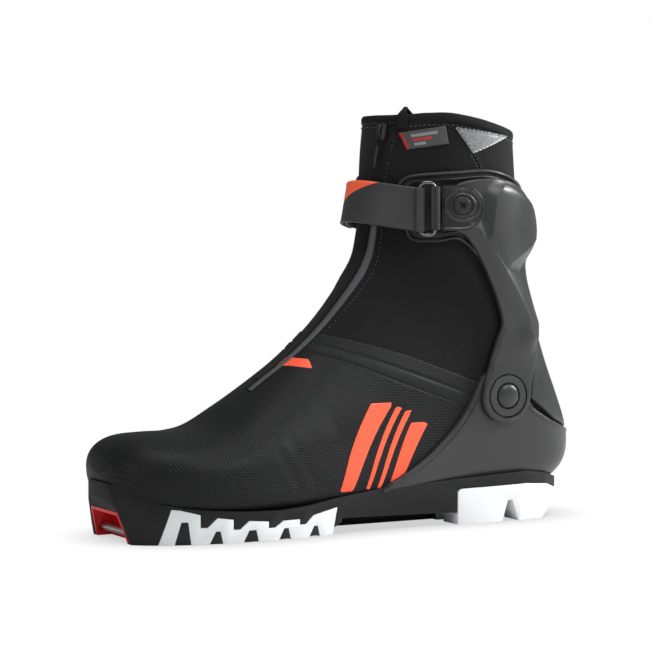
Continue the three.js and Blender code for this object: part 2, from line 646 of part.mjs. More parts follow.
// The wire ring: a rounded rectangle in the plane of the wing.
function strapRing() {
  const [bottom, top] = [SCREW.z - 17, SCREW.z + 13];
  const corner = 3;
  const path = [];
  const add = (along, z) => path.push(rearWire.clone().addScaledVector(ringForward, along).setZ(z));
  const arc = (cx, cz, start) => {
    for (let k = 0; k <= 3; k++) {
      const turn = start + (k / 3) * (Math.PI / 2);
      add(cx + corner * Math.cos(turn), cz + corner * Math.sin(turn));
    }
  };
  arc(RING_REACH - corner, top - corner, 0);
  arc(corner, top - corner, Math.PI / 2);
  arc(corner, bottom + corner, Math.PI);
  arc(RING_REACH - corner, bottom + corner, 1.5 * Math.PI);
  const normal = new THREE.Vector3(0, 0, 1).cross(ringForward).normalize();
  const rings = path.map((p, i) => {
    const before = path[(i + path.length - 1) % path.length];
    const after = path[(i + 1) % path.length];
    const side = after.clone().sub(before).cross(normal).normalize();
    return Array.from({ length: 8 }, (_, k) => {
      const turn = (k / 8) * 2 * Math.PI;
      const [out, along] = [WIRE * Math.cos(turn), WIRE * Math.sin(turn)];
      return p.clone().addScaledVector(side, out).addScaledVector(normal, along);
    });
  });
  return ringSolid(rings, true);
}

const FLAP_END = degrees(138);
const FLAP_START = degrees(33);
function strapBand(from, to, low, high, steps) {
  const half = () => STRAP_WIDTH / 2;
  return legBand(from, to, low, high, STRAP_MIDDLE, half, steps, STRAP_OVAL);
}
function strapFlap() {
  const sheet = strapBand(FLAP_START, FLAP_END, STRAP_OUTER.low, STRAP_OUTER.high, 16);
  const middle = STRAP_MIDDLE(FLAP_START);
  const fold = rod(at(frontWire, middle - STRAP_WIDTH / 2), at(frontWire, middle + STRAP_WIDTH / 2), 2.9);
  const hole = rod(at(frontWire, 150), at(frontWire, 220), WIRE + 0.35, 16);
  return mainBody(sheet.add(fold).subtract(hole));
}

function ankleStrap() {
  const free = strapBand(degrees(42), degrees(150), STRAP_INNER.low, STRAP_INNER.high, 16);
  const rise = strapBand(degrees(148), degrees(174), SHELL_OUT + 0.5, SHELL_OUT + 2.1, 6);
  const ramp = strapBand(degrees(146), degrees(151), STRAP_INNER.low, SHELL_OUT + 2.1, 2);
  return mainBody(free.add(ramp).add(rise).subtract(screwSeat(-1, 2.4)));
}

function strapScrew(side, face) {
  const { point, normal } = wingPoint(side, SCREW.y, SHELL_OUT);
  const along = (d) => point.clone().addScaledVector(normal, d);
  const head = rod(along(face + 0.3), along(face + 1.8), 5.2, 16);
  const shank = rod(along(-SHELL_OUT - 0.2), along(face + 0.8), 2, 12);
  return mainBody(head.add(shank));
}

// ---- Zip slider and puller ----
const SLIDER_ROW = 19.1;
const SLIDER_ANGLE = angleAtX(SLIDER_ROW, zipX(SLIDER_ROW));
const sliderBase = offsetPoint(SLIDER_ROW, SLIDER_ANGLE, 0);
const sliderNormal = bodyNormal(SLIDER_ROW, SLIDER_ANGLE);
function zipSlider() {
  const up = new THREE.Vector3(0, 0.1, 1).normalize();
  const from = sliderBase.clone().addScaledVector(sliderNormal, 3.6);
  const across = up.clone().cross(sliderNormal).normalize();
  const ring = (z, w) =>
    [[-w, -1.2], [w, -1.2], [w, 1.2], [-w, 1.2]].map(([a, b]) =>
      from.clone().addScaledVector(up, z).addScaledVector(across, a).addScaledVector(sliderNormal, b));
  return ringSolid([ring(-4.5, 2.6), ring(1, 3.6), ring(4.5, 3.6)]);
}
function zipPuller() {
  const top = sliderBase.clone().addScaledVector(sliderNormal, 6.3);
  const path = [[0, 0], [0.4, -6], [0.3, -14], [-0.2, -22]];
  const rings = path.map(([forward, drop], i) => {
    const centre = top.clone().addScaledVector(sliderNormal, forward);
    centre.add(new THREE.Vector3(0.18 * drop, 0, drop));
    const radius = [0.8, 0.8, 1.1, 1][i];
    return Array.from({ length: 8 }, (_, k) => {
      const turn = (k / 8) * 2 * Math.PI;
      return centre.clone().add(new THREE.Vector3(radius * Math.cos(turn), radius * Math.sin(turn), 0));
    });
  });
  return ringSolid(rings);
}

// ---- Small trim ----
const patch = (items, low, high) =>
  mainBody(layer(low, high).intersect(sideCutter(items, 5, HALF_SPAN)));
const HEEL_TAB = { low: 101.5, high: 111.5, halfWidth: 7 };
function heelTab() {
  const { low, high, halfWidth } = HEEL_TAB;
  const outline = [[262, low], [262, high], [300, high], [300, low]];
  return mainBody(layer(PANEL + GAP, PANEL + 1.1).intersect(sideCutter(outline, -halfWidth, halfWidth)));
}
const LABEL = [[178, 226.6], [199.5, 230.6], [201.4, 220.2], [181, 216.8]];
const REFLECTOR = [[204.5, 229.8], [244.6, 225], [216.2, 214.6]];

// A webbing loop over the collar's rim, sewn to both of its faces.
function pullLoop() {
  const [row, angle] = [19.5, 0.62];
  const outside = offsetPoint(row, angle, 1.3).setZ(235.6);
  const inward = bodyNormal(row, angle).setZ(0).normalize().negate();
  const across = new THREE.Vector3(-inward.y, inward.x, 0);
  const upward = new THREE.Vector3(0, 0, 1);
  const span = SKIN + LINER + 4;
  const path = [[0, -6.4], [0, 0], [0.6, 4], [span / 2, 6.4], [span - 0.6, 4], [span, 0], [span, -6.4]];
  const rings = path.map(([depth, up], i) => {
    const ahead = path[Math.min(path.length - 1, i + 1)];
    const behind = path[Math.max(0, i - 1)];
    const [run, rise] = [ahead[0] - behind[0], ahead[1] - behind[1]];
    const side = inward.clone().multiplyScalar(rise).addScaledVector(upward, -run).normalize();
    const centre = outside.clone().addScaledVector(inward, depth).addScaledVector(upward, up);
    const corners = [[-3.6, -0.5], [3.6, -0.5], [3.6, 0.5], [-3.6, 0.5]];
    return corners.map(([a, b]) => centre.clone().addScaledVector(across, a).addScaledVector(side, b));
  });
  return ringSolid(rings);
}

// ---- Colours ----
const material = (color, roughness, metalness = 0) =>
  new THREE.MeshStandardMaterial({ color, roughness, metalness });
const FINISH = {
  sole: material(0x2b2b2b, 0.6),
  tread: material(0xe4e8ea, 0.55),
  red: material(0xc8161d, 0.45),
  steel: material(0xb8bab8, 0.3, 1),
  vamp: material(0x303131, 0.65),
  softshell: material(0x191a1a, 0.95),
  lining: material(0x222222, 0.95),
  plastic: material(0x3a3b3a, 0.45),
  trim: material(0x2a2b2b, 0.4),
  strap: material(0x3d3d3d, 0.55),
  webbing: material(0x1c1c1c, 0.9),
  label: material(0x3c3d3d, 0.8),
  reflector: material(0x8c8e8e, 0.35, 0.3),
  footbed: material(0x333333, 0.9),
};

// ---- Assembly ----
const boot = new THREE.Group();
boot.position.y = -HEEL_STATION;
function add(name, solid, finish) {
  const mesh = new THREE.Mesh(toGeometry(solid), finish);
  mesh.name = name;
  boot.add(mesh);
}

add("outsole", outsole(), FINISH.sole);
add("forefoot_tread_outer", forefootTread(1), FINISH.tread);
add("forefoot_tread_inner", forefootTread(-1), FINISH.tread);
add("heel_tread", heelTread(), FINISH.tread);
add("toe_insert", toeInsert(), FINISH.red);
add("binding_bar", toeBar(), FINISH.steel);
add("vamp", vamp(), FINISH.vamp);
add("ankle_cover", ankleCover(), FINISH.softshell);
add("ankle_gusset", ankleGusset(), FINISH.softshell);
add("achilles_panel", achillesPanel(), FINISH.vamp);
add("heel_tab", heelTab(), FINISH.red);
add("heel_sock", heelSock(), FINISH.softshell);
add("collar", collar(), FINISH.softshell);
add("collar_binding", collarBinding(), FINISH.webbing);
add("collar_lining", collarLining(), FINISH.lining);
add("inner_boot", innerBoot(), FINISH.lining);
add("tongue", tongue(), FINISH.lining);
add("lace", lace(), FINISH.webbing);
add("lasting_board", lastingBoard(), FINISH.trim);
add("footbed", footbed(), FINISH.footbed);
add("heel_counter", heelCounter(), FINISH.plastic);
add("cuff_shell", cuffShell(), FINISH.plastic);
add("cuff_frame", cuffFrame(), FINISH.trim);
add("pivot_stud_outer", pivotStud(1), FINISH.plastic);
add("pivot_stud_inner", pivotStud(-1), FINISH.plastic);
add("pivot_washer_outer", pivotWasher(1), FINISH.plastic);
add("pivot_washer_inner", pivotWasher(-1), FINISH.plastic);
add("buckle_tab", buckleTab(), FINISH.trim);
add("strap_ring", strapRing(), FINISH.steel);
add("strap_flap", strapFlap(), FINISH.strap);
add("ankle_strap", ankleStrap(), FINISH.strap);
add("buckle_screw", strapScrew(1, TAB.high - SHELL_OUT), FINISH.trim);
add("strap_screw", strapScrew(-1, 2.1), FINISH.trim);
add("zip_lower", zip(belowFlex), FINISH.webbing);
add("zip_middle", zip(flexZone()), FINISH.webbing);
add("zip_upper", zip(aboveFlex), FINISH.webbing);
add("zip_slider", zipSlider(), FINISH.steel);
add("zip_puller", zipPuller(), FINISH.webbing);
add("pull_loop", pullLoop(), FINISH.webbing);
add("woven_label", patch(LABEL, GAP, 1.3), FINISH.label);
add("reflective_patch", patch(REFLECTOR, GAP, 1), FINISH.reflector);

export default boot;
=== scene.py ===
"""A skate boot for cross country skis: the look of each piece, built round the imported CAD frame.

Shapes are worked out in millimetres, in stations measured from the toe tip (y) and heights (z), and
only become metres in the row's frame when a mesh is made.
"""
import math

import bpy
import bmesh
import numpy as np
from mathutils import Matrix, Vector


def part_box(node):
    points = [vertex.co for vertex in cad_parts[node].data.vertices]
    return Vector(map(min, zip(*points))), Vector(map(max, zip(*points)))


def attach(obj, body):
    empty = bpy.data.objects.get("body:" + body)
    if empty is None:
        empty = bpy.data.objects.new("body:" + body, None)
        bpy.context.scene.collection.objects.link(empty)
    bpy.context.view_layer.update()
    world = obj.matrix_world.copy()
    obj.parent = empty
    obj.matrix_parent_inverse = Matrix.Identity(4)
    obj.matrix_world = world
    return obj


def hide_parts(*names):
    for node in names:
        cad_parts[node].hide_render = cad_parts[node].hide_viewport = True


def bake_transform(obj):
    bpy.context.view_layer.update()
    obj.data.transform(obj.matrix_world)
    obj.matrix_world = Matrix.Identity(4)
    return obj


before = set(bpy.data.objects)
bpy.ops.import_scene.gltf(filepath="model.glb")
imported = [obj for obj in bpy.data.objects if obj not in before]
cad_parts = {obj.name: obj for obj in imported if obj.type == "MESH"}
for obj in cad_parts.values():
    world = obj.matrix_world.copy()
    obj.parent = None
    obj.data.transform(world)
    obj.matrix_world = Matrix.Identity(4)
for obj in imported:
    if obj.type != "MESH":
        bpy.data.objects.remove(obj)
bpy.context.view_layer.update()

MM = 0.001
HEEL_STATION = 242.0  # from the toe tip to the origin under the heel
PI = math.pi

# ---- The boot's body, the same fan of oval sections that the CAD solids are cut from ----
# Front point y, z; back point y, z; half width outside, inside; bluntness at front, back.
SECTIONS = np.array([
    [0.2, 40, 0.6, 35, 9, 9, 2.4, 2.4],
    [2.2, 49, 3, 27, 21, 22, 2.3, 2.4],
    [8, 54.8, 8, 22.5, 30.5, 31.5, 2.2, 2.7],
    [17, 57.8, 17, 18.5, 37.5, 37.5, 2.2, 3.0],
    [31, 58.6, 32, 15, 44, 41.5, 2.2, 3.3],
    [46, 58.8, 50, 13, 48.5, 43.8, 2.2, 3.4],
    [61, 62.4, 72, 12, 50.6, 45, 2.15, 3.4],
    [78.5, 73, 98, 12, 49.6, 44, 2.1, 3.4],
    [97, 86, 128, 13.5, 45.6, 41.2, 2.0, 3.4],
    [115.6, 99.8, 160, 15.5, 41.5, 38.5, 2.0, 3.4],
    [133, 116, 196, 17, 38.5, 37, 2.0, 3.4],
    [146.8, 133, 234, 18, 36.5, 36, 2.0, 3.4],
    [156.8, 148, 272, 19.5, 36, 35.5, 2.0, 3.3],
    [162.4, 160, 291.5, 29, 36.5, 35.5, 2.0, 3.1],
    [164.8, 170, 295.5, 45, 37, 36.5, 2.0, 2.9],
    [166.2, 178, 289.6, 66, 38, 37.5, 2.0, 2.7],
    [167.3, 188, 278.8, 96, 39, 38.5, 2.0, 2.4],
    [168.3, 200, 266.6, 134, 40, 39.5, 2.0, 2.2],
    [169.2, 212, 265, 172, 40.6, 40, 2.0, 2.1],
    [170.6, 226, 262.6, 205, 41.2, 40.8, 2.0, 2.1],
    [172.6, 242, 260, 234, 42, 41.6, 2.0, 2.1],
    [175, 262, 258.5, 262, 42.8, 42.3, 2.0, 2.1],
])
LAST_ROW = len(SECTIONS) - 1
SKIN = 2.4
GAP = 0.35
LINER = 3.6
COUNTER_OUT = 2.55
FRAME_IN, FRAME_OUT = 0.9, 2.7
SHELL_IN, SHELL_OUT = 3.05, 5.45
ARM_IN = 3.45
PIVOT = np.array([240.0, 74.3])  # station and height of the ankle hinge
PIVOT_FACE = 42.6  # outside face of the arm at the pivot
SCREW_Y, SCREW_Z = 206.5, 185.0
LEG = (217.0, 40.3, 50.0)  # centre station, half width, half depth of the leg at strap height
STRAP_OVAL = (217.0, 40.3, 52.4)
GRID = 1.5  # spacing of the fine grid on the body


def unit(vector):
    vector = np.asarray(vector, float)
    return vector / np.linalg.norm(vector, axis=-1, keepdims=True)


def cubic(p, q, r, s, t):
    """The cubic from q to r, a share t of the way, that also follows p before and s after."""
    return q + 0.5 * t * (r - p + t * (2 * p - 5 * q + 4 * r - s + t * (3 * (q - r) + s - p)))


def distance_along(points):
    """The distance from the first point, along the line through them all, to each one."""
    return np.concatenate([[0], np.cumsum(np.linalg.norm(np.diff(points, axis=0), axis=1))])


def section(u):
    """The row of section values at position u along the fan."""
    i = np.clip(np.floor(u).astype(int), 0, LAST_ROW - 1)
    t = (u - i)[..., None]
    p, q, r, s = (SECTIONS[np.clip(i + k, 0, LAST_ROW)] for k in (-1, 0, 1, 2))
    return cubic(p, q, r, s, t)


def body_point(u, angle):
    """Angle 0 is the front, a quarter turn the outer side, half a turn the back."""
    u, angle = np.broadcast_arrays(np.asarray(u, float), np.asarray(angle, float))
    fy, fz, by, bz, outer, inner, front, back = np.moveaxis(section(u), -1, 0)
    cos, sin = np.cos(angle), np.sin(angle)
    power = np.where(cos > 0, front, back)
    reach = 0.5 * (1 + np.sign(cos) * np.abs(cos) ** (2 / power))
    half = np.where(sin > 0, outer, inner)
    x = np.sign(sin) * half * np.abs(sin) ** (2 / power)
    return np.stack([x, by + (fy - by) * reach, bz + (fz - bz) * reach], -1)


def body_normal(u, angle):
    u, angle = np.broadcast_arrays(np.asarray(u, float), np.asarray(angle, float))
    ring_step, turn_step = 0.08, 0.02
    above = body_point(np.minimum(LAST_ROW, u + ring_step), angle)
    along = above - body_point(np.maximum(0, u - ring_step), angle)
    around = body_point(u, angle + turn_step) - body_point(u, angle - turn_step)
    return unit(np.cross(around, along))


def offset_point(u, angle, offset):
    return body_point(u, angle) + body_normal(u, angle) * np.asarray(offset, float)[..., None]


def angle_at_x(u, x):
    """The angle at which ring u has this x, on its front."""
    row = section(np.asarray(u, float))
    half = np.where(np.asarray(x) > 0, row[..., 4], row[..., 5])
    return np.sign(x) * np.arcsin(np.minimum(1, np.abs(x) / half) ** (row[..., 6] / 2))


# ---- Sheets: fine triangle grids on the body, cut along lines drawn in the side view ----
# A sheet's table has one row per vertex: point, normal, foot coordinates, leg coordinates, ring, angle.
POINT, NORMAL, FOOT, SHAFT = slice(0, 3), slice(3, 6), slice(6, 8), slice(8, 10)
SIDE_VIEW = slice(1, 3)
RING, TURN = 10, 11
QUARTER = (1 - np.cos(np.linspace(0, PI, 61))) / 2
DENSE = np.concatenate([(k + QUARTER[:-1]) * PI / 2 for k in range(4)] + [[2 * PI]])


def ring_table(u, shares):
    """One ring of vertices, spaced by shares of its length."""
    points = body_point(np.full(DENSE.shape, u), DENSE)
    length = distance_along(points)
    shares = np.asarray(shares)
    angle = np.interp(shares, length / length[-1], DENSE)

    def from_front(axes):
        """The way round from the front of the ring in two of the three directions, the same on both sides."""
        run = distance_along(points[:, axes])
        here = np.interp(angle, DENSE, run)
        return np.where(shares > 0.5, run[-1] - here, here)

    rings = np.full(angle.shape, u)
    here = body_point(rings, angle)
    foot = np.stack([here[:, 1], from_front([0, 2]) - points[0, 2]], -1)
    shaft = np.stack([from_front([0, 1]), here[:, 2]], -1)
    return np.hstack([here, body_normal(rings, angle), foot, shaft, rings[:, None], angle[:, None]])


def grid_faces(rows, columns, closed=False):
    """Triangles of a grid stored row by row; a closed grid wraps round from its last column to the first."""
    i, k = np.meshgrid(np.arange(rows - 1), np.arange(columns if closed else columns - 1), indexing="ij")
    a = (i * columns + k).ravel()
    b = (i * columns + (k + 1) % columns).ravel()
    c, d = b + columns, a + columns
    return np.vstack([np.stack([a, b, c], 1), np.stack([a, c, d], 1)])


def make_sheet(u0, u1, s0=0.0, s1=1.0, step=GRID):
    """A grid on the body between two rings and two shares of their length."""
    fine = np.linspace(u0, u1, 300)
    sides = body_point(fine[:, None], np.array([0, PI / 2, PI])[None, :])
    run = np.concatenate([[0], np.cumsum(np.linalg.norm(np.diff(sides, axis=0), axis=2).mean(axis=1))])
    rows = max(3, int(run[-1] / step) + 1)
    us = np.interp(np.linspace(0, run[-1], rows), run, fine)
    closed = s1 - s0 > 0.999
    around = distance_along(body_point(np.full(DENSE.shape, (u0 + u1) / 2), DENSE))[-1]
    columns = max(3, int(around * (s1 - s0) / step) + 1)
    shares = np.linspace(s0, s1, columns + 1)[:-1] if closed else np.linspace(s0, s1, columns)
    table = np.vstack([ring_table(u, shares) for u in us])
    return table, grid_faces(rows, columns, closed)


def split(table, faces, value, level, near=0.12):
    """Cut the triangles where value crosses level. Returns the new table, faces and value."""
    value = value.copy()
    value[np.abs(value - level) < near] = level
    side = np.sign(value - level)[faces]
    crossing = np.stack([side[:, k] * side[:, (k + 1) % 3] < 0 for k in range(3)], 1)
    count = crossing.sum(1)
    rows, cols = np.nonzero(crossing)
    if not len(rows):
        return table, faces, value
    ends = np.sort(np.stack([faces[rows, cols], faces[rows, (cols + 1) % 3]], 1), axis=1)
    unique, place = np.unique(ends, axis=0, return_inverse=True)
    place = place.ravel()
    share = (level - value[unique[:, 0]]) / (value[unique[:, 1]] - value[unique[:, 0]])
    fresh = table[unique[:, 0]] + (table[unique[:, 1]] - table[unique[:, 0]]) * share[:, None]
    new_index = np.full(crossing.shape, -1)
    new_index[rows, cols] = place + len(table)
    table = np.vstack([table, fresh])
    value = np.concatenate([value, np.full(len(fresh), level)])
    out = [faces[count == 0]]
    one = np.nonzero(count == 1)[0]
    if len(one):
        edge = crossing[one].argmax(1)
        b, c, a = (faces[one, (edge + k) % 3] for k in range(3))
        p = new_index[one, edge]
        out += [np.stack([a, b, p], 1), np.stack([a, p, c], 1)]
    two = np.nonzero(count == 2)[0]
    if len(two):
        whole = (~crossing[two]).argmax(1)
        b, c, a = (faces[two, (whole + k) % 3] for k in range(3))
        q = new_index[two, (whole + 1) % 3]
        p = new_index[two, (whole + 2) % 3]
        out += [np.stack([a, p, q], 1), np.stack([p, b, c], 1), np.stack([p, c, q], 1)]
    return table, np.vstack(out), value


def keep(sheet, column, level=0.0):
    """Drop what lies below the level of a column."""
    table, faces = sheet
    table, faces, value = split(table, faces, table[:, column], level)
    table[:, column] = value
    faces = faces[value[faces].min(1) >= level]
    faces = faces[value[faces].max(1) > level]
    used, packed = np.unique(faces, return_inverse=True)
    return table[used], packed.reshape(-1, 3)


def crease(sheet, column, levels):
    """Add edges along level lines of a column, so that a profile that bends there is crisp."""
    table, faces = sheet
    for level in levels:
        table, faces, value = split(table, faces, table[:, column], level, near=0.08)
        table[:, column] = value
    return table, faces


def with_column(sheet, values):
    """The sheet with one more column; its index is the last one."""
    return np.hstack([sheet[0], np.asarray(values, float)[:, None]]), sheet[1]


def side_view(table, offset=0):
    """Station and height of a sheet's points when they stand off the body."""
    return (table[:, POINT] + table[:, NORMAL] * offset)[:, 1:]


def with_depth(sheet, loop, offset=0):
    """The sheet with a column for how far inside a side-view outline each point lies."""
    return with_column(sheet, depth(side_view(sheet[0], offset), loop))


def cut_out(sheet, loop, offset=0):
    """What lies inside an outline, and the index of the column that holds the distance to it."""
    column = sheet[0].shape[1]
    return keep(with_depth(sheet, loop, offset), column), column


def spline(points, per_span=6):
    """A smooth run through points."""
    points = np.asarray(points, float)
    ends = np.vstack([points[:1], points, points[-1:]])
    t = np.linspace(0, 1, per_span, endpoint=False)[:, None]
    spans = []
    for p, q, r, s in zip(ends[:-3], ends[1:-2], ends[2:-1], ends[3:]):
        spans.append(cubic(p, q, r, s, t))
    return np.vstack(spans + [points[-1:]])


def line_distance(points, line):
    best = np.full(len(points), np.inf)
    for start, span in zip(line[:-1], np.diff(line, axis=0)):
        share = np.clip((points - start) @ span / max(span @ span, 1e-9), 0, 1)
        best = np.minimum(best, np.linalg.norm(points - start - share[:, None] * span, axis=1))
    return best


def inside(points, loop):
    found = np.zeros(len(points), bool)
    for (y0, z0), (y1, z1) in zip(loop, np.roll(loop, -1, axis=0)):
        if z0 == z1:
            continue
        between = (z0 > points[:, 1]) != (z1 > points[:, 1])
        found ^= between & (points[:, 0] < y0 + (y1 - y0) * (points[:, 1] - z0) / (z1 - z0))
    return found


def depth(points, loop):
    """How far inside a closed outline each point is; negative outside."""
    loop = np.asarray(loop, float)
    distance = line_distance(points, np.vstack([loop, loop[:1]]))
    return np.where(inside(points, loop), distance, -distance)


def smooth(value, low, high):
    t = np.clip((value - low) / (high - low), 0, 1)
    return t * t * (3 - 2 * t)


def rim(distance, radius):
    """A quarter round: 0 on the edge, 1 a radius inside it."""
    return np.sqrt(np.clip(1 - (1 - np.clip(distance / radius, 0, 1)) ** 2, 0, 1))


RIM_STEPS = (0.14, 0.45, 1.0)  # shares of a rim's radius that get an edge of their own


def ridge(distance, half):
    """A rounded ridge over a line: 1 on it, 0 half a width away."""
    return np.sqrt(np.clip(1 - (distance / half) ** 2, 0, 1))


def tent(distance, half):
    """A straight-sided ridge over a line."""
    return np.clip(1 - distance / half, 0, 1)


# ---- Meshes ----
def place(points):
    """Station millimetres to metres in the row's frame."""
    return (np.asarray(points, float) - [0, HEEL_STATION, 0]) * MM


def add(name, data):
    made = bpy.data.objects.new(name, data)
    bpy.context.collection.objects.link(made)
    return made


def make_object(name, points, faces, looks, face_look=None, corner_angle=38, attributes=None):
    """A smooth-shaded mesh. looks is a name from MATERIALS, or several with a number for each face."""
    mesh = bpy.data.meshes.new(name)
    mesh.from_pydata(place(points).tolist(), [], [list(map(int, f)) for f in faces])
    for look in [looks] if isinstance(looks, str) else looks:
        mesh.materials.append(MATERIALS[look])
    if face_look is not None:
        mesh.polygons.foreach_set("material_index", np.asarray(face_look, np.int32))
    mesh.polygons.foreach_set("use_smooth", np.ones(len(faces), bool))
    for key, values in (attributes or {}).items():
        values = np.asarray(values, np.float32)
        filled = np.zeros((len(values), 3), np.float32)
        filled[:, : values.shape[1]] = values
        attribute = mesh.attributes.new(key, "FLOAT_VECTOR", "POINT")
        attribute.data.foreach_set("vector", filled.ravel())
    mesh.set_sharp_from_angle(angle=math.radians(corner_angle))
    mesh.validate()
    mesh.update()
    return add(name, mesh)


def skin(name, sheet, low, high, looks, face_look=None, shift=None, corner_angle=38):
    """A closed piece between two offsets of a sheet. shift(points, table) may then move its points."""
    table, faces = sheet
    count = len(table)
    low = np.broadcast_to(np.asarray(low, float), count)[:, None]
    high = np.broadcast_to(np.asarray(high, float), count)[:, None]
    points = np.vstack([table[:, POINT] + table[:, NORMAL] * high, table[:, POINT] + table[:, NORMAL] * low])
    if shift is not None:
        points = shift(points, np.vstack([table, table]))
    directed = np.vstack([faces[:, [0, 1]], faces[:, [1, 2]], faces[:, [2, 0]]])
    keys = np.sort(directed, axis=1) @ [count, 1]
    _, first, uses = np.unique(keys, return_index=True, return_counts=True)
    rim_edges = directed[first[uses == 1]]
    walls = np.stack([rim_edges[:, 1], rim_edges[:, 0], rim_edges[:, 0] + count, rim_edges[:, 1] + count], 1)
    polygons = faces.tolist() + (faces[:, ::-1] + count).tolist() + walls.tolist()
    if face_look is not None:
        face_look = np.concatenate([face_look, np.zeros(len(polygons) - len(face_look), int)])
    attributes = {"foot": np.vstack([table[:, FOOT]] * 2), "shaft": np.vstack([table[:, SHAFT]] * 2)}
    return make_object(name, points, polygons, looks, face_look, corner_angle, attributes)


def band_quads(rings, count, looped=False, start=0):
    """The quads between rings of count points each, whose points are stored one ring after the other."""
    faces = []
    for i in range(rings if looped else rings - 1):
        below, above = start + i * count, start + (i + 1) % rings * count
        for k in range(count):
            n = (k + 1) % count
            faces.append([below + k, below + n, above + n, above + k])
    return faces


def circle(sides, a, b):
    """Points round a unit circle that starts at a and turns towards b."""
    turn = np.arange(sides)[:, None] * 2 * PI / sides
    return np.cos(turn) * a + np.sin(turn) * b


def squared_circle(sides, power):
    """Cosine and sine round a circle that fills out towards a square as the power falls."""
    turn = np.arange(sides) * 2 * PI / sides
    return [np.sign(wave) * np.abs(wave) ** power for wave in (np.cos(turn), np.sin(turn))]


def ring_mesh(name, rings, look, looped=False, corner_angle=38, attributes=None):
    """A closed solid from equal rings of points, capped at both ends unless it is looped."""
    rings = np.asarray(rings, float)
    spans, count = rings.shape[:2]
    faces = band_quads(spans, count, looped)
    if not looped:
        faces.append(list(range(count))[::-1])
        faces.append(list(range((spans - 1) * count, spans * count)))
    made = make_object(name, rings.reshape(-1, 3), faces, look, None, corner_angle, attributes)
    fix_normals(made)
    return made


def fix_normals(made):
    """Turn a closed mesh the right way out when its volume is negative."""
    mesh = made.data
    co = np.array([v.co for v in mesh.vertices])
    mesh.calc_loop_triangles()
    tri = np.array([t.vertices for t in mesh.loop_triangles])
    volume = np.einsum("ij,ij->i", co[tri[:, 0]], np.cross(co[tri[:, 1]], co[tri[:, 2]])).sum()
    if volume < 0:
        mesh.flip_normals()


def tube(name, path, radius, look, sides=12, looped=False, up=(0, 0, 1)):
    """A round cord along a path. The radius may change along it."""
    path = np.asarray(path, float)
    radius = np.broadcast_to(np.asarray(radius, float), len(path))
    if looped:
        tangent = np.roll(path, -1, axis=0) - np.roll(path, 1, axis=0)
    else:
        tangent = np.gradient(path, axis=0)
    tangent = unit(tangent)
    side = unit(np.cross(tangent, np.broadcast_to(up, path.shape)))
    other = np.cross(side, tangent)
    rings = [middle + reach * circle(sides, a, b) for middle, reach, a, b in zip(path, radius, side, other)]
    return ring_mesh(name, rings, look, looped)


def turned(profile, centre, axis, sides):
    """A ring of points for each (distance along the axis, radius) of a profile."""
    side = unit(np.cross(axis, [0.31, 0.27, 0.91]))
    out = circle(sides, side, np.cross(axis, side))
    return [np.asarray(centre) + along * axis + radius * out for along, radius in profile]


def lathe(name, profile, centre, axis, look, sides=64):
    """A turned solid, whose profile starts and ends on the axis."""
    axis = unit(axis)
    rings = turned(profile[1:-1], centre, axis, sides)
    ends = [np.asarray(centre) + along * axis for along, _ in (profile[0], profile[-1])]
    points = np.vstack(rings + [ends])
    faces = band_quads(len(rings), sides)
    top = (len(rings) - 1) * sides
    for k in range(sides):
        n = (k + 1) % sides
        faces += [[len(points) - 2, n, k], [len(points) - 1, top + k, top + n]]
    made = make_object(name, points, faces, look, None, 32)
    fix_normals(made)
    return made


def lathe_ring(name, profile, centre, axis, look, sides=72):
    """A turned ring whose closed profile stays clear of the axis."""
    return ring_mesh(name, turned(profile, centre, unit(axis), sides), look, looped=True, corner_angle=32)


STITCH_SIDES = 6
# How far along a stitch each of its rings is, in half lengths, and the ring's share of the radius.
STITCH_PROFILE = ((-1.0, 0.35), (-0.8, 0.85), (0.0, 1.0), (0.8, 0.85), (1.0, 0.35))


def stitches(name, points, normals, look, length=2.2, gap=1.3, radius=0.28, zigzag=0.0):
    """A row of thread stitches along a line on a surface."""
    points, normals = np.asarray(points, float), np.asarray(normals, float)
    run = distance_along(points)

    def at(distance, values):
        return np.array([np.interp(distance, run, values[:, k]) for k in range(3)])

    rings, faces = [], []
    for number, start in enumerate(np.arange(gap / 2, run[-1] - length, length + gap)):
        middle = start + length / 2
        centre = at(middle, points)
        up = unit(at(middle, normals))
        along = unit(at(middle + 0.5, points) - centre)
        across = unit(np.cross(up, along))
        if zigzag:
            along = unit(along + across * (zigzag if number % 2 else -zigzag))
            across = unit(np.cross(up, along))
        first = len(rings) * STITCH_SIDES
        for reach, thick in STITCH_PROFILE:
            middle_here = centre + along * reach * length / 2
            rings.append(middle_here + radius * thick * circle(STITCH_SIDES, across, up))
        last = (len(rings) - 1) * STITCH_SIDES
        faces += band_quads(len(STITCH_PROFILE), STITCH_SIDES, start=first)
        faces += [[first + k for k in reversed(range(STITCH_SIDES))], [last + k for k in range(STITCH_SIDES)]]
    made = make_object(name, np.vstack(rings), faces, look, None, 60)
    fix_normals(made)
    return made


def boolean(made, cutters, operation="DIFFERENCE"):
    """Cut or join meshes and keep the result; the cutters are removed."""
    for cutter in cutters:
        modifier = made.modifiers.new("cut", "BOOLEAN")
        modifier.operation = operation
        modifier.object = cutter
        modifier.solver = "EXACT"
    apply_modifiers(made)
    for cutter in cutters:
        bpy.data.objects.remove(cutter, do_unlink=True)
    return made


def apply_modifiers(made):
    bpy.context.view_layer.update()
    view = bpy.context.evaluated_depsgraph_get()
    solved = made.evaluated_get(view)
    mesh = bpy.data.meshes.new_from_object(solved, preserve_all_data_layers=True, depsgraph=view)
    made.modifiers.clear()
    old = made.data
    made.data = mesh
    bpy.data.meshes.remove(old)


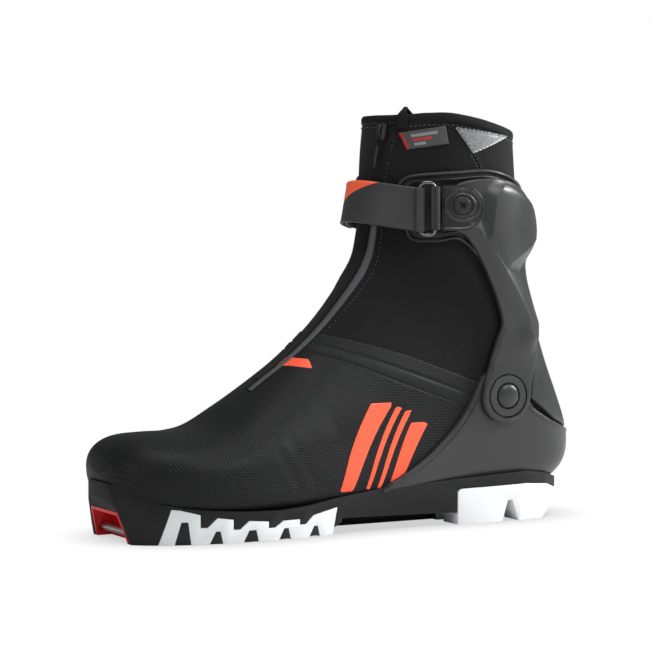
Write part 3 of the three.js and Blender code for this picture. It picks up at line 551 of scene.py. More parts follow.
def own(piece, body, slot, *nodes):
    """Puts a piece on a CAD body in place of its nodes; "upper" is the cloth from boot to cuff, which is
    baked in place without a body.
    """
    if body == "upper":
        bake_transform(piece)
    else:
        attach(piece, body)
    if nodes:
        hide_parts(*nodes)


# ---- Places on the body, found from the side view ----
FINE_U = np.linspace(0, LAST_ROW, 2101)
FINE_ROWS = section(FINE_U)


def locate(points, side=1):
    """The ring and angle of points given by station and height, on the outer (1) or inner (-1) side."""
    front, back = FINE_ROWS[:, 0:2], FINE_ROWS[:, 2:4]
    chord = front - back
    found = []
    for point in np.asarray(points, float):
        off = point - back
        cross = chord[:, 0] * off[:, 1] - chord[:, 1] * off[:, 0]
        reach = (off * chord).sum(1) / (chord * chord).sum(1)
        flips = np.nonzero((cross[:-1] * cross[1:] <= 0) & (reach[:-1] > -0.3) & (reach[:-1] < 1.3))[0]
        if not len(flips):
            flips = [int(np.abs(cross[:-1]).argmin())]
        i = min(flips, key=lambda k: abs(reach[k] - 0.5))
        share = cross[i] / (cross[i] - cross[i + 1]) if cross[i] != cross[i + 1] else 0
        u = FINE_U[i] + (FINE_U[i + 1] - FINE_U[i]) * share
        along = np.clip(2 * (reach[i] + (reach[i + 1] - reach[i]) * share) - 1, -1, 1)
        power = section(np.array([u]))[0, 6 if along > 0 else 7]
        found.append([u, side * math.acos(np.sign(along) * abs(along) ** (power / 2))])
    return np.array(found)


def on_body(points, offset, side=1):
    """3-D points and normals over a line drawn in the side view."""
    where = locate(points, side)
    normal = body_normal(where[:, 0], where[:, 1])
    return body_point(where[:, 0], where[:, 1]) + normal * offset, normal


def side_sheet(loop, step):
    """A small sheet on the outer side, under the bounding box of an outline, for fine trim."""
    loop = np.asarray(loop, float)
    low, high = loop.min(0) - step, loop.max(0) + step
    ys = np.arange(low[0], high[0] + step, step)
    zs = np.arange(low[1], high[1] + step, step)
    y, z = np.meshgrid(ys, zs, indexing="ij")
    flat = np.stack([y.ravel(), z.ravel()], 1)
    where = locate(flat)
    u, angle = where[:, 0], where[:, 1]
    table = np.hstack([body_point(u, angle), body_normal(u, angle), flat, flat, where])
    return table, grid_faces(len(ys), len(zs))[:, ::-1]


# ---- Shader helpers ----
class Shader:
    """A Principled material with a few helpers for the nodes that feed it."""

    def __init__(self, name, color, roughness, metallic=0.0, **inputs):
        self.material = bpy.data.materials.new(name)
        self.material.use_nodes = True
        self.tree = self.material.node_tree
        self.bsdf = self.tree.nodes["Principled BSDF"]
        self.bsdf.inputs["Base Color"].default_value = (*color, 1)
        self.bsdf.inputs["Roughness"].default_value = roughness
        self.bsdf.inputs["Metallic"].default_value = metallic
        for key, value in inputs.items():
            self.bsdf.inputs[key.replace("_", " ")].default_value = value
        self.normal = None
        self.color = color
        self.roughness = roughness

    def node(self, kind, inputs=None, **settings):
        made = self.tree.nodes.new(kind)
        for key, value in settings.items():
            setattr(made, key, value)
        for key, value in (inputs or {}).items():
            if isinstance(value, bpy.types.NodeSocket):
                self.tree.links.new(value, made.inputs[key])
            else:
                made.inputs[key].default_value = value
        return made

    def object_coords(self):
        return self.node("ShaderNodeTexCoord").outputs["Object"]

    def attribute(self, name):
        return self.node("ShaderNodeAttribute", attribute_name=name).outputs["Vector"]

    def noise(self, coords, scale, detail=2.0, roughness=0.5):
        inputs = {"Vector": coords, "Scale": scale, "Detail": detail, "Roughness": roughness}
        return self.node("ShaderNodeTexNoise", inputs).outputs["Fac"]

    def math(self, operation, a, b=0.0, c=0.0):
        return self.node("ShaderNodeMath", {0: a, 1: b, 2: c}, operation=operation).outputs[0]

    def vector(self, operation, a, b=(0, 0, 0), c=(0, 0, 0)):
        inputs = {0: a, 1: b}
        if operation in ("WRAP", "MULTIPLY_ADD"):
            inputs[2] = c
        made = self.node("ShaderNodeVectorMath", inputs, operation=operation)
        return made.outputs["Value" if operation in ("LENGTH", "DOT_PRODUCT") else "Vector"]

    def parts(self, vector):
        return self.node("ShaderNodeSeparateXYZ", {0: vector}).outputs

    def remap(self, value, low, high, to_low=0.0, to_high=1.0, smooth_step=True):
        inputs = {"Value": value, 1: low, 2: high, 3: to_low, 4: to_high}
        kind = "SMOOTHSTEP" if smooth_step else "LINEAR"
        return self.node("ShaderNodeMapRange", inputs, interpolation_type=kind).outputs[0]

    def mix_colors(self, share, low, high):
        mix = self.node("ShaderNodeMix", {0: share, 6: low, 7: high}, data_type="RGBA")
        self.tree.links.new(mix.outputs[2], self.bsdf.inputs["Base Color"])
        return mix.outputs[2]

    def tint(self, share, low, high):
        """Base colour that runs from low times to high times the material's colour."""
        return self.mix_colors(share, *((*[c * times for c in self.color], 1) for times in (low, high)))

    def blend_color(self, share, base, color):
        return self.mix_colors(share, base, (*color, 1))

    def vary_roughness(self, share, low, high):
        value = self.remap(share, 0.3, 0.7, low, high)
        self.tree.links.new(value, self.bsdf.inputs["Roughness"])

    def bump(self, height, strength, distance):
        """Adds a bump; distance is in millimetres."""
        inputs = {"Height": height, "Strength": strength, "Distance": distance * MM}
        if self.normal is not None:
            inputs["Normal"] = self.normal
        self.normal = self.node("ShaderNodeBump", inputs).outputs["Normal"]
        self.tree.links.new(self.normal, self.bsdf.inputs["Normal"])

    def grain(self, scale, detail, strength, distance):
        """A fine noise bump."""
        self.bump(self.noise(self.object_coords(), scale, detail), strength, distance)

    def cells(self, scale):
        found = self.node("ShaderNodeTexVoronoi", {"Vector": self.object_coords(), "Scale": scale})
        return found.outputs["Distance"]


def hex_dots(shader, coords, pitch):
    """Distance to the nearest point of a triangular lattice, in pitches."""
    scaled = shader.vector("MULTIPLY", coords, (1 / pitch, 1 / pitch, 0))
    half = (0.5, math.sqrt(3) / 2, 1)
    minus = tuple(-v for v in half)
    first = shader.vector("WRAP", scaled, half, minus)
    moved = shader.vector("ADD", scaled, (0.5, math.sqrt(3) / 2, 0))
    second = shader.vector("WRAP", moved, half, minus)
    return shader.math("MINIMUM", shader.vector("LENGTH", first), shader.vector("LENGTH", second))


def weave(shader, coords, pitch):
    """A plain weave: threads that pass over and under each other."""
    scaled = shader.vector("MULTIPLY", coords, (PI / pitch, PI / pitch, 0))
    parts = shader.parts(scaled)
    x, y = (shader.math("SINE", part) for part in (parts[0], parts[1]))
    return shader.math("MULTIPLY_ADD", x, y, 0.5)


# ---- Materials ----
def perforated_film():
    shader = Shader("perforated_film", (0.013, 0.0134, 0.0138), 0.5, Specular_IOR_Level=0.12)
    coords = shader.attribute("foot")
    dots = shader.remap(hex_dots(shader, coords, 1.9), 0.2, 0.36)
    broad = shader.noise(shader.object_coords(), 45, 3)
    tinted = shader.tint(broad, 0.8, 1.2)
    in_hole = shader.math("MULTIPLY", shader.math("SUBTRACT", 1.0, dots), 0.75)
    shader.blend_color(in_hole, tinted, (0.004, 0.004, 0.004))
    shader.vary_roughness(broad, 0.42, 0.54)
    shader.bump(dots, 0.9, 0.22)
    shader.grain(2200, 2, 0.25, 0.05)
    return shader.material


def smooth_film():
    shader = Shader("smooth_film", (0.013, 0.0134, 0.0138), 0.5, Specular_IOR_Level=0.12)
    broad = shader.noise(shader.object_coords(), 60, 3)
    shader.tint(broad, 0.85, 1.15)
    shader.vary_roughness(broad, 0.46, 0.58)
    shader.grain(1800, 2, 0.3, 0.06)
    return shader.material


def textured_film():
    shader = Shader("textured_film", (0.014, 0.0144, 0.0148), 0.55, Specular_IOR_Level=0.12)
    cells = hex_dots(shader, shader.attribute("foot"), 1.1)
    shader.tint(shader.remap(cells, 0.2, 0.5), 0.55, 1.35)
    shader.bump(cells, 0.9, 0.3)
    return shader.material


def orange_film():
    shader = Shader("orange_film", (0.95, 0.09, 0.028), 0.5)
    coords = shader.attribute("foot")
    dots = shader.remap(hex_dots(shader, coords, 1.9), 0.2, 0.36)
    shader.tint(shader.noise(shader.object_coords(), 80, 2), 0.94, 1.04)
    shader.bump(dots, 0.35, 0.12)
    return shader.material


def softshell():
    shader = Shader("softshell", (0.011, 0.011, 0.0115), 0.92, Sheen_Weight=0.05, Sheen_Roughness=0.5,
                    Specular_IOR_Level=0.08)
    knit = weave(shader, shader.attribute("shaft"), 0.55)
    fuzz = shader.noise(shader.object_coords(), 1400, 3)
    shader.tint(shader.math("MULTIPLY_ADD", knit, 0.5, shader.math("MULTIPLY", fuzz, 0.5)), 0.6, 1.5)
    shader.bump(knit, 0.6, 0.15)
    shader.bump(fuzz, 0.4, 0.12)
    return shader.material


def webbing(name="webbing", color=(0.011, 0.011, 0.011)):
    shader = Shader(name, color, 0.85, Specular_IOR_Level=0.12)
    coords = shader.object_coords()
    stretched = shader.vector("MULTIPLY", coords, (2600, 2600, 1500))
    cells = shader.node("ShaderNodeTexVoronoi", {"Vector": stretched, "Scale": 1.0}).outputs["Distance"]
    shader.tint(cells, 1.5, 0.5)
    shader.bump(cells, 0.7, 0.15)
    return shader.material


def lining_knit():
    shader = Shader("lining_knit", (0.016, 0.016, 0.017), 0.95, Sheen_Weight=0.25)
    cells = hex_dots(shader, shader.attribute("shaft"), 2.4)
    shader.tint(shader.remap(cells, 0.25, 0.5), 0.5, 1.6)
    shader.bump(cells, 0.9, 0.5)
    shader.grain(1500, 3, 0.4, 0.1)
    return shader.material


def moulded(name, color, roughness, grain=0.05, specular=0.4):
    """Satin injection moulding: fine spark grain, slow colour drift and a painted highlight that lightens the
    colour on the ridges.
    """
    shader = Shader(name, color, roughness, Specular_IOR_Level=specular)
    coords = shader.object_coords()
    broad = shader.noise(coords, 28, 4)
    tinted = shader.tint(broad, 0.88, 1.12)
    # Painted highlight: convex ridges, found from pointiness, get a lighter base colour.
    painted_highlight_pointiness = shader.node("ShaderNodeNewGeometry").outputs["Pointiness"]
    edge = shader.remap(painted_highlight_pointiness, 0.52, 0.6)
    shader.blend_color(shader.math("MULTIPLY", edge, 0.35), tinted, tuple(min(1, c * 2.2) for c in color))
    shader.vary_roughness(broad, roughness - 0.04, roughness + 0.06)
    shader.bump(shader.noise(coords, 2600, 3, 0.6), 0.5, grain)
    return shader.material


def tread_rubber():
    shader = Shader("tread_rubber", (0.66, 0.68, 0.695), 0.5, Subsurface_Weight=0.03)
    coords = shader.object_coords()
    shader.tint(shader.noise(coords, 70, 4), 0.95, 1.03)
    shader.bump(shader.noise(coords, 1500, 3), 0.25, 0.06)
    return shader.material


def metal(name, color, roughness):
    shader = Shader(name, color, roughness, metallic=1.0)
    brushed = shader.vector("MULTIPLY", shader.object_coords(), (400, 4000, 4000))
    streaks = shader.noise(brushed, 1.0, 2)
    shader.tint(streaks, 0.85, 1.1)
    shader.bump(streaks, 0.2, 0.03)
    return shader.material


def strap_rubber():
    shader = Shader("strap_rubber", (0.036, 0.036, 0.036), 0.5, Specular_IOR_Level=0.3)
    coords = shader.object_coords()
    shader.tint(shader.noise(coords, 35, 3), 0.85, 1.15)
    ribs = shader.math("SINE", shader.math("MULTIPLY", shader.parts(coords)[2], 2 * PI / (0.5 * MM)))
    shader.bump(ribs, 0.12, 0.04)
    shader.bump(shader.noise(coords, 2400, 3), 0.35, 0.05)
    return shader.material


def strap_orange():
    shader = Shader("strap_orange", (1.0, 0.13, 0.04), 0.45)
    shader.tint(shader.noise(shader.object_coords(), 60, 3), 0.93, 1.05)
    shader.grain(2400, 3, 0.3, 0.05)
    return shader.material


def celled(name, color, roughness, scale, tints, depth_mm, metallic=0.0):
    """A surface of small round cells: glass beads or open foam."""
    shader = Shader(name, color, roughness, metallic)
    cells = shader.cells(scale)
    shader.tint(cells, *tints)
    shader.bump(cells, 0.5, depth_mm)
    return shader.material


def woven_cloth(name, color):
    shader = Shader(name, color, 0.75)
    threads = weave(shader, shader.attribute("foot"), 0.45)
    shader.tint(threads, 0.6, 1.35)
    shader.bump(threads, 0.7, 0.1)
    return shader.material


def thread(name, color):
    shader = Shader(name, color, 0.6, Sheen_Weight=0.2)
    twist = shader.noise(shader.object_coords(), 3000, 2)
    shader.tint(twist, 0.7, 1.3)
    shader.bump(twist, 0.5, 0.05)
    return shader.material


MATERIALS = {
    "perforated": perforated_film(),
    "film": smooth_film(),
    "texture": textured_film(),
    "orange": orange_film(),
    "softshell": softshell(),
    "webbing": webbing(),
    "lining": lining_knit(),
    "plastic": moulded("satin_plastic", (0.027, 0.0275, 0.0275), 0.32, 0.05, 0.36),
    "dark": moulded("dark_plastic", (0.014, 0.014, 0.0145), 0.33, 0.05, 0.35),
    "sole": moulded("sole_rubber", (0.013, 0.013, 0.0135), 0.5, 0.09, 0.14),
    "red": moulded("red_plastic", (0.62, 0.01, 0.018), 0.32),
    "board": moulded("board_plastic", (0.02, 0.02, 0.02), 0.6),
    "tread": tread_rubber(),
    "steel": metal("steel", (0.55, 0.55, 0.53), 0.3),
    "wire": metal("dark_wire", (0.16, 0.16, 0.165), 0.28),
    "strap": strap_rubber(),
    "strap_orange": strap_orange(),
    "welt": moulded("welt_film", (0.06, 0.061, 0.063), 0.45),
    "reflector": celled("reflective_tape", (0.2, 0.205, 0.21), 0.35, 1300.0, (1.5, 0.65), 0.08, 0.35),
    "label": woven_cloth("label_cloth", (0.05, 0.05, 0.052)),
    "label_red": woven_cloth("label_red", (0.35, 0.015, 0.015)),
    "label_grey": woven_cloth("label_grey", (0.2, 0.2, 0.205)),
    "thread": thread("dark_thread", (0.034, 0.034, 0.035)),
    "pale_thread": thread("pale_thread", (0.6, 0.6, 0.6)),
    "foam": celled("foam", (0.03, 0.03, 0.032), 0.9, 700.0, (0.6, 1.4), 0.2),
}

# ---- Lines drawn in the side view: station, height ----
SOLE_EDGE = spline([
    [-4, 34.5], [0, 33], [5.5, 30.5], [12.5, 27], [22, 22.6], [35, 20], [50, 18.4], [70, 17], [90, 16.4],
    [109, 17.6], [128, 20.4], [160, 24.1], [197, 25.7], [225, 27.3], [259, 28.7], [276, 26.3], [300, 19]])
VAMP_EDGE = spline([
    [98, 118], [112, 106.5], [121, 102.3], [131.6, 99], [147.5, 93.8], [166, 86.2], [185, 79.4], [210, 70.5],
    [232, 62]])
BAND_GROOVE = spline([
    [96, 128], [108, 112], [121, 107.6], [131.6, 104.8], [147.5, 100.2], [166, 94], [185, 87.4], [210, 78.6],
    [236, 69]])
BAND_EDGE = spline([
    [100, 140], [118, 118.5], [126, 113.5], [141, 109.6], [158, 105.1], [177, 99.4], [197, 92.2], [212, 87],
    [236, 78]])
COLLAR_TOP = spline([
    [140, 238.4], [173, 237], [190, 238], [203, 238], [220, 235.2], [243, 230.4], [263, 227.4], [290, 227]])


def face_middles(table, faces):
    return table[:, SIDE_VIEW][faces].mean(axis=1)


def close_toe(sheet, columns):
    """Carries the first ring of a sheet in to its middle, so that the toe is closed."""
    table, faces = sheet
    ring = table[:columns]
    middle = ring[:, POINT].mean(axis=0)
    rows = []
    for share in (0.01, 0.3, 0.65):
        inner = ring.copy()
        inner[:, POINT] = middle + (ring[:, POINT] - middle) * share + [0, -0.5 * (1 - share), 0]
        inner[:, NORMAL] = unit(ring[:, NORMAL] * share + np.array([0, -1, 0]) * (1 - share))
        inner[:, RING] = -1
        rows.append(inner)
    table = np.vstack(rows + [table])
    faces = faces + 3 * columns
    return table, np.vstack([grid_faces(4, columns, closed=True), faces])


# Leaning stripes on the outer side, just ahead of the heel counter: station at the bottom, width, top.
STRIPES = [(130, 15, 73), (148.5, 4.4, 70.5), (156.5, 4.4, 68), (164.5, 12, 61)]
STRIPE_LOW = 24
FLASH = [(104, 93.4), (111.5, 98.4), (121.5, 97.6), (121, 92.6), (112.6, 93.8)]


def stripe_outline(start, width, top):
    """A curved bar with level ends, which leans more and more towards the heel as it rises."""
    height = np.linspace(STRIPE_LOW, top, 9)
    up = height - STRIPE_LOW
    front = start + 0.12 * up + 0.0062 * up ** 2
    swell = width * (0.62 + 0.38 * up / (top - STRIPE_LOW))
    return np.vstack([np.stack([front, height], 1), np.stack([front + swell, height], 1)[::-1]])


def soft_folds(table):
    """Slow waves that keep a soft surface from looking machined."""
    x, y, z = table[:, 0], table[:, 1], table[:, 2]
    waves = np.sin(y / 13 + z / 21 + x / 17)
    waves += 0.7 * np.sin(y / 7.3 - z / 9.1 + 1.3)
    waves += 0.5 * np.sin(z / 5.2 + x / 8)
    return 0.09 * waves


CREASES = [  # start, end, half width, depth: shallow folds over the ball of the foot and behind the toes
    ([88, 49], [100, 29], 3.2, 0.45),
    ([96, 54], [111, 31], 3.6, 0.4),
    ([60, 36], [62, 22], 3.0, 0.25),
    ([124, 66], [136, 44], 5.0, 0.3),
]


VAMP_LOOKS = ("perforated", "film", "texture", "orange")
MARK_UP, MARK_SLOPE = 0.12, 0.5  # height of the printed marks and width of their sloped edge


def vamp_height(table, edge, hem):
    """Turned edge, seams, folds, creases and printed marks of the vamp."""
    seam, groove = table[:, hem + 1], table[:, hem + 2]
    height = 0.55 * rim(table[:, edge], 0.6) + soft_folds(table)
    height -= 0.3 * ridge(np.abs(seam), 0.6) + 0.45 * ridge(np.abs(groove), 0.95)
    height += 0.25 * np.sin(np.clip((seam + 7) / 7, 0, 1) * PI) * (seam < 0)
    for start, end, half, deep in CREASES:
        distance = line_distance(table[:, SIDE_VIEW], np.array([start, end], float))
        height -= deep * np.exp(-(distance / half) ** 2)
    printed = table[:, hem + 3:].max(axis=1)
    return height + MARK_UP * np.clip(printed / MARK_SLOPE, 0, 1)


def vamp_faces(table, faces, hem, marks):
    """The number in VAMP_LOOKS of each face: field, smooth band, textured band or printed mark."""
    face_look = np.zeros(len(faces), int)
    for number in (1, 2):
        face_look[table[:, hem + number][faces].mean(axis=1) < 0] = number
    middles = face_middles(table, faces)
    for index, mark in enumerate(marks):
        column = table[:, hem + 3 + index]
        face_look[(column[faces].mean(axis=1) > 0) & inside(middles, mark)] = 3
    return face_look


def vamp():
    """Perforated film over the forefoot, with the smooth and the textured band along its upper edge."""
    sheet = make_sheet(0, 14.2)
    table = sheet[0]
    columns = int((np.abs(table[:, RING] - table[0, RING]) < 1e-9).sum())
    sheet = close_toe(sheet, columns)
    loop = np.vstack([[[-30, -20]], [[236, -20]], BAND_EDGE[::-1], [BAND_EDGE[0] + [-140, 40]]])
    sheet = with_column(sheet, np.minimum(depth(sheet[0][:, SIDE_VIEW], loop), 20))
    sole_loop = np.vstack([SOLE_EDGE - [0, 9], [[320, 300], [-40, 300], [-40, 25]]])
    edge = sheet[0].shape[1] - 1
    hem = edge + 1
    sheet = keep(keep(with_depth(sheet, sole_loop), edge), hem)
    sheet = crease(sheet, edge, [0.6 * s for s in RIM_STEPS])
    for line in (VAMP_EDGE, BAND_GROOVE):
        loop = np.vstack([line, [[236, -30], [-40, -30], [-40, line[0, 1]]]])
        sheet = crease(with_depth(sheet, loop), sheet[0].shape[1], [-0.9, -0.4, 0, 0.4, 0.9])
    marks = [stripe_outline(*stripe) for stripe in STRIPES] + [np.array(FLASH, float)]
    for mark in marks:
        outer = np.where(sheet[0][:, 0] > 0, depth(side_view(sheet[0]), mark), -9)
        sheet = crease(with_column(sheet, outer), sheet[0].shape[1], [0, MARK_SLOPE])
    table, faces = sheet
    face_look = vamp_faces(table, faces, hem, marks)
    made = skin("vamp_film", sheet, -SKIN, vamp_height(table, edge, hem), VAMP_LOOKS, face_look)
    own(made, "boot", "vamp_fabric", "vamp")
    row, normals = on_body(BAND_EDGE[14:-2] - [0, 1.1], 0.62)
    dots = stitches("band_stitching", row, normals, "thread", 0.9, 1.3, 0.2)
    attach(dots, "boot")


GAITER_OUTLINE = np.vstack([VAMP_EDGE - [0, 6], [[240, 20], [320, 8], [340, 8], [340, 225]],
                            COLLAR_TOP[::-1] - [0, 3], [[60, 236], [60, 112]]])
# The double seam that runs down from the reflective patch, and the seam behind the zip.
BACK_SEAM = np.array([[216, 214.4], [220, 208], [224, 200], [229, 186]], float)


def gaiter():
    """The soft upper, one cloth from the vamp to the collar."""
    sheet, edge = cut_out(make_sheet(6.2, 20.4), GAITER_OUTLINE)
    sheet = with_column(sheet, line_distance(sheet[0][:, SIDE_VIEW], BACK_SEAM))
    seam = edge + 1
    sheet = crease(sheet, seam, [0.5, 1.0, 1.6])
    table, faces = sheet
    height = soft_folds(table) * 1.4 - 0.05
    height -= 0.5 * ridge(table[:, seam], 0.7)
    height += 0.3 * ridge(table[:, seam] - 1.6, 1.2)
    flex = smooth(table[:, 2] + 0.43 * (table[:, 1] - 100), 150, 165)
    flex *= 1 - smooth(table[:, 2] + 0.43 * (table[:, 1] - 100), 178, 205)
    fold = np.sin((table[:, 2] + 0.43 * table[:, 1]) / 4.6)
    height += 0.28 * flex * fold * np.clip(np.cos(table[:, TURN]), 0, 1)
    made = skin("gaiter", (table, faces), -SKIN, height, "softshell", corner_angle=60)
    own(made, "upper", "softshell", "ankle_cover", "ankle_gusset", "collar", "heel_sock")


def ring_at_height(line, angles, drop=0.0):
    """Rings and angles of the points of the body that lie on a side-view line all the way round."""
    us = np.linspace(17.5, LAST_ROW, 400)
    found = []
    for angle in angles:
        points = body_point(us, angle)
        gap = points[:, 2] - np.interp(points[:, 1], line[:, 0], line[:, 1]) + drop
        i = int(np.nonzero((gap[:-1] < 0) & (gap[1:] >= 0))[0][0])
        share = -gap[i] / (gap[i + 1] - gap[i])
        found.append(us[i] + (us[i + 1] - us[i]) * share)
    return np.array(found)


def collar_binding():
    """The thick turned rim at the top of the collar, over the edges of the cloth and the lining."""
    angles = np.linspace(0, 2 * PI, 161)[:-1]
    us = ring_at_height(COLLAR_TOP, angles)
    base = body_point(us, angles)
    normal = unit(body_normal(us, angles) * [1, 1, 0])
    cosine, sine = squared_circle(20, 0.7)
    across, up = -2.7 + 3.5 * cosine, -3.1 + 3.1 * sine
    pinch = 0.25 * np.sin(angles * 23) * np.cos(angles * 7)
    rings = []
    for point, out, nip in zip(base, normal, pinch):
        wide = across * (1 + 0.05 * nip)
        rings.append(point + wide[:, None] * out + (up + 0.2 * nip)[:, None] * [0, 0, 1])
    attributes = {"shaft": np.repeat(np.stack([angles * 42, base[:, 2]], 1), len(up), axis=0)}
    made = ring_mesh("collar_rim", rings, "webbing", looped=True, corner_angle=70, attributes=attributes)
    own(made, "cuff", "webbing", "collar_binding")
    for number, (drop, zig) in enumerate(((4.8, 0.5), (7.2, -0.5))):
        us = ring_at_height(COLLAR_TOP, angles, drop)
        loop = np.append(np.arange(len(angles)), 0)
        points = offset_point(us, angles, 0.12)[loop]
        row = stitches(f"collar_stitching_{number + 1}", points, body_normal(us, angles)[loop],
                       "thread", 1.7, 1.0, 0.26, zig)
        own(row, "cuff", "webbing")


LINING_OUTLINE = np.vstack([[[100, 197], [320, 100], [340, 100], [340, 225]], COLLAR_TOP[::-1] - [0, 4.2],
                            [[60, 236]]])


def collar_lining():
    """The padded lining of the collar, quilted by sewn channels."""
    (table, faces), _ = cut_out(make_sheet(14.6, 20.6, step=2.0), LINING_OUTLINE)
    edge = table[:, -1]
    channel = np.abs((table[:, TURN] / (2 * PI) * 9 + 0.5) % 1 - 0.5) * 2 * PI * 40 / 9
    puff = np.minimum(rim(edge, 7), rim(channel, 7))
    made = skin("collar_padding", (table, faces), -SKIN - LINER + 1.2 - 2.4 * puff, -SKIN - 0.1,
                "lining", corner_angle=60)
    own(made, "cuff", "lining", "collar_lining")


INSTEP_SLOT = np.array([[86, 70], [86, 104], [150, 160], [162, 126], [132, 86]], float)
BOARD_TOP = spline([
    [20, 24.5], [33, 20.6], [51, 18.2], [75, 17.4], [98, 17.4], [128, 18.9], [160, 20.8], [196, 22.3],
    [234, 23.3], [270, 25]])
LINER_IN = SKIN + GAP + LINER


def inner_boot():
    """The padded inner boot inside the cover, open over the instep where the tongue lies."""
    sheet = make_sheet(0.8, 16.6, step=2.6)
    table = sheet[0]
    low = np.array([[-30, -10], [330, -10], [330, 50], [262, 78], [100, 148], [-30, 148]], float)
    above_board = np.vstack([BOARD_TOP + [0, 0.6], [[320, 25], [320, 300], [-40, 300], [-40, 24.5]]])
    slot = np.where(np.abs(table[:, 0]) < 15, depth(table[:, SIDE_VIEW], INSTEP_SLOT), -9)
    region = np.minimum(depth(table[:, SIDE_VIEW], low), depth(table[:, SIDE_VIEW], above_board))
    sheet = keep(with_column(sheet, np.minimum(region, -slot)), table.shape[1])
    made = skin("inner_boot_padding", sheet, -LINER_IN, -SKIN - GAP, "lining", corner_angle=60)
    own(made, "boot", "lining", "inner_boot")


# ---- Strips laid along the front ----
ZIP_TOE, WELT_TOP, ZIP_TOP = 7.6, 16.9, 19.35


def zip_x(u):
    u = np.asarray(u, float)
    upper = 9 + 8 * (np.clip(u - 16, 0, None) / 4) ** 1.6
    return np.where(u > 16, upper, 9 - 3 * np.clip((12 - u) / 4, 0, 1))


def front_strip(name, u0, u1, offsets, heights, low, look, steps=150, x_of=zip_x):
    """A strip along the front: heights over x offsets from its middle line, above a flat underside."""
    us = np.linspace(u0, u1, steps)
    offsets, heights = np.asarray(offsets, float), np.asarray(heights, float)
    across = np.concatenate([offsets, offsets[::-1]])
    tall = np.concatenate([np.full(len(offsets), low), heights[::-1]])
    rings, run = [], []
    for u in us:
        angle = angle_at_x(np.full(len(across), u), float(x_of(u)) + across)
        rings.append(offset_point(u, angle, tall))
        run.append(np.stack([across, np.full(len(across), u * 14.0)], 1))
    return ring_mesh(name, rings, look, corner_angle=40, attributes={"foot": np.vstack(run)})


def zip_closure():
    """The zip's tape, the grey welt that covers its teeth, and the teeth that show beside it."""
    tape = front_strip("zip_tape", ZIP_TOE, ZIP_TOP, np.linspace(-4.6, 5.6, 12),
                       [0.35, 0.6, 0.62, 0.6, 0.5, 0.5, 0.5, 0.55, 0.6, 0.6, 0.55, 0.35], -0.4, "webbing")
    arc = np.linspace(0, PI, 9)
    across, arch = np.cos(arc), np.sin(arc) ** 0.6
    welt = front_strip("zip_welt", ZIP_TOE, WELT_TOP, 1.9 - 1.75 * across, 0.75 + 0.75 * arch, 0.35, "welt")
    flap = front_strip("zip_flap", ZIP_TOE + 0.4, ZIP_TOP - 0.1, -3.1 - 2.2 * across, 0.7 + 0.65 * arch, 0.3,
                       "softshell")
    us = np.linspace(ZIP_TOE + 1, ZIP_TOP - 0.2, 400)
    rows = []
    for name, aside, up, look, *sizes in (("zip_teeth", -0.35, 0.55, "dark", 0.9, 0.75, 0.42),
                                          ("zip_stitching", 6.1, 0.2, "thread", 1.6, 1.1, 0.24)):
        angle = angle_at_x(us, zip_x(us) + aside)
        rows.append(stitches(name, offset_point(us, angle, up), body_normal(us, angle), look, *sizes))
    own(tape, "upper", "webbing", "zip_lower", "zip_middle", "zip_upper")
    for piece in (welt, flap, *rows):
        own(piece, "upper", "webbing")


def tongue_and_lace():
    """The padded tongue under the lace, between the inner boot and the zipped cover."""
    across = np.linspace(-19, 19, 15)
    crown = -LINER_IN - GAP - 1.6 + 1.2 * np.cos(across / 19 * PI / 2)
    tongue = front_strip("tongue_padding", 6.9, 10.3, across, crown, -LINER_IN - GAP - 2.9, "lining", 40,
                         lambda u: 0.0)
    own(tongue, "boot", "lining", "tongue")
    path = []
    for share in np.linspace(0, 1, 97):
        u = 7.7 + share * 2.3
        side = 9.5 * (2 / PI) * math.asin(math.sin((share * 8 - 0.5) * PI))
        path.append(offset_point(u, angle_at_x(u, side), -SKIN - GAP - 2.2))
    lace = tube("lace_cord", path, 1.1, "webbing", 8, up=(0.2, -0.8, 0.5))
    own(lace, "boot", "webbing", "lace")


# ---- Heel counter and cuff ----
COUNTER_FRONT = spline([[150, 10], [162, 24], [171.5, 29.6], [186.6, 39.7], [197, 48.4], [208, 59], [214, 67],
                        [219, 75], [224, 85]])
COUNTER_REAR = spline([[256, 74], [260, 67], [268, 62], [278, 57.3], [299, 49.5]])
COUNTER_OUTLINE = np.vstack([
    COUNTER_FRONT, [[234, 94], [252, 90]], COUNTER_REAR, [[320, 44], [320, 5], [150, 5]]])


def heel_counter():
    """The rigid heel cup, with a raised lip along its front and top edges."""
    sheet, edge = cut_out(make_sheet(8.5, 16.8), COUNTER_OUTLINE, COUNTER_OUT)
    sheet, _ = cut_out(sheet, np.vstack([SOLE_EDGE - [0, 6], [[320, 300], [-40, 300]]]))
    sheet = crease(sheet, edge, [0.9 * s for s in RIM_STEPS] + [2.2, 2.9, 3.6])
    hole = np.linalg.norm(side_view(sheet[0], COUNTER_OUT) - PIVOT, axis=1)
    sheet = keep(with_column(sheet, hole - 5.4), edge + 2)
    table = sheet[0]
    height = GAP + 0.2 + (COUNTER_OUT - GAP) * rim(table[:, edge], 0.9)
    lip = (table[:, edge] < 2.9) & (table[:, 1] < 250)
    height += np.where(lip, 0.5, 0) - 0.3 * ridge(np.abs(table[:, edge] - 2.9), 0.7) * (table[:, 1] < 250)
    rear = line_distance(table[:, SIDE_VIEW], COUNTER_REAR)
    height += 0.55 * smooth(-rear, -3.4, -2.0) * (table[:, 1] > 252)
    made = skin("heel_cup", sheet, GAP, height, "plastic")
    own(made, "boot", "grey_plastic", "heel_counter")


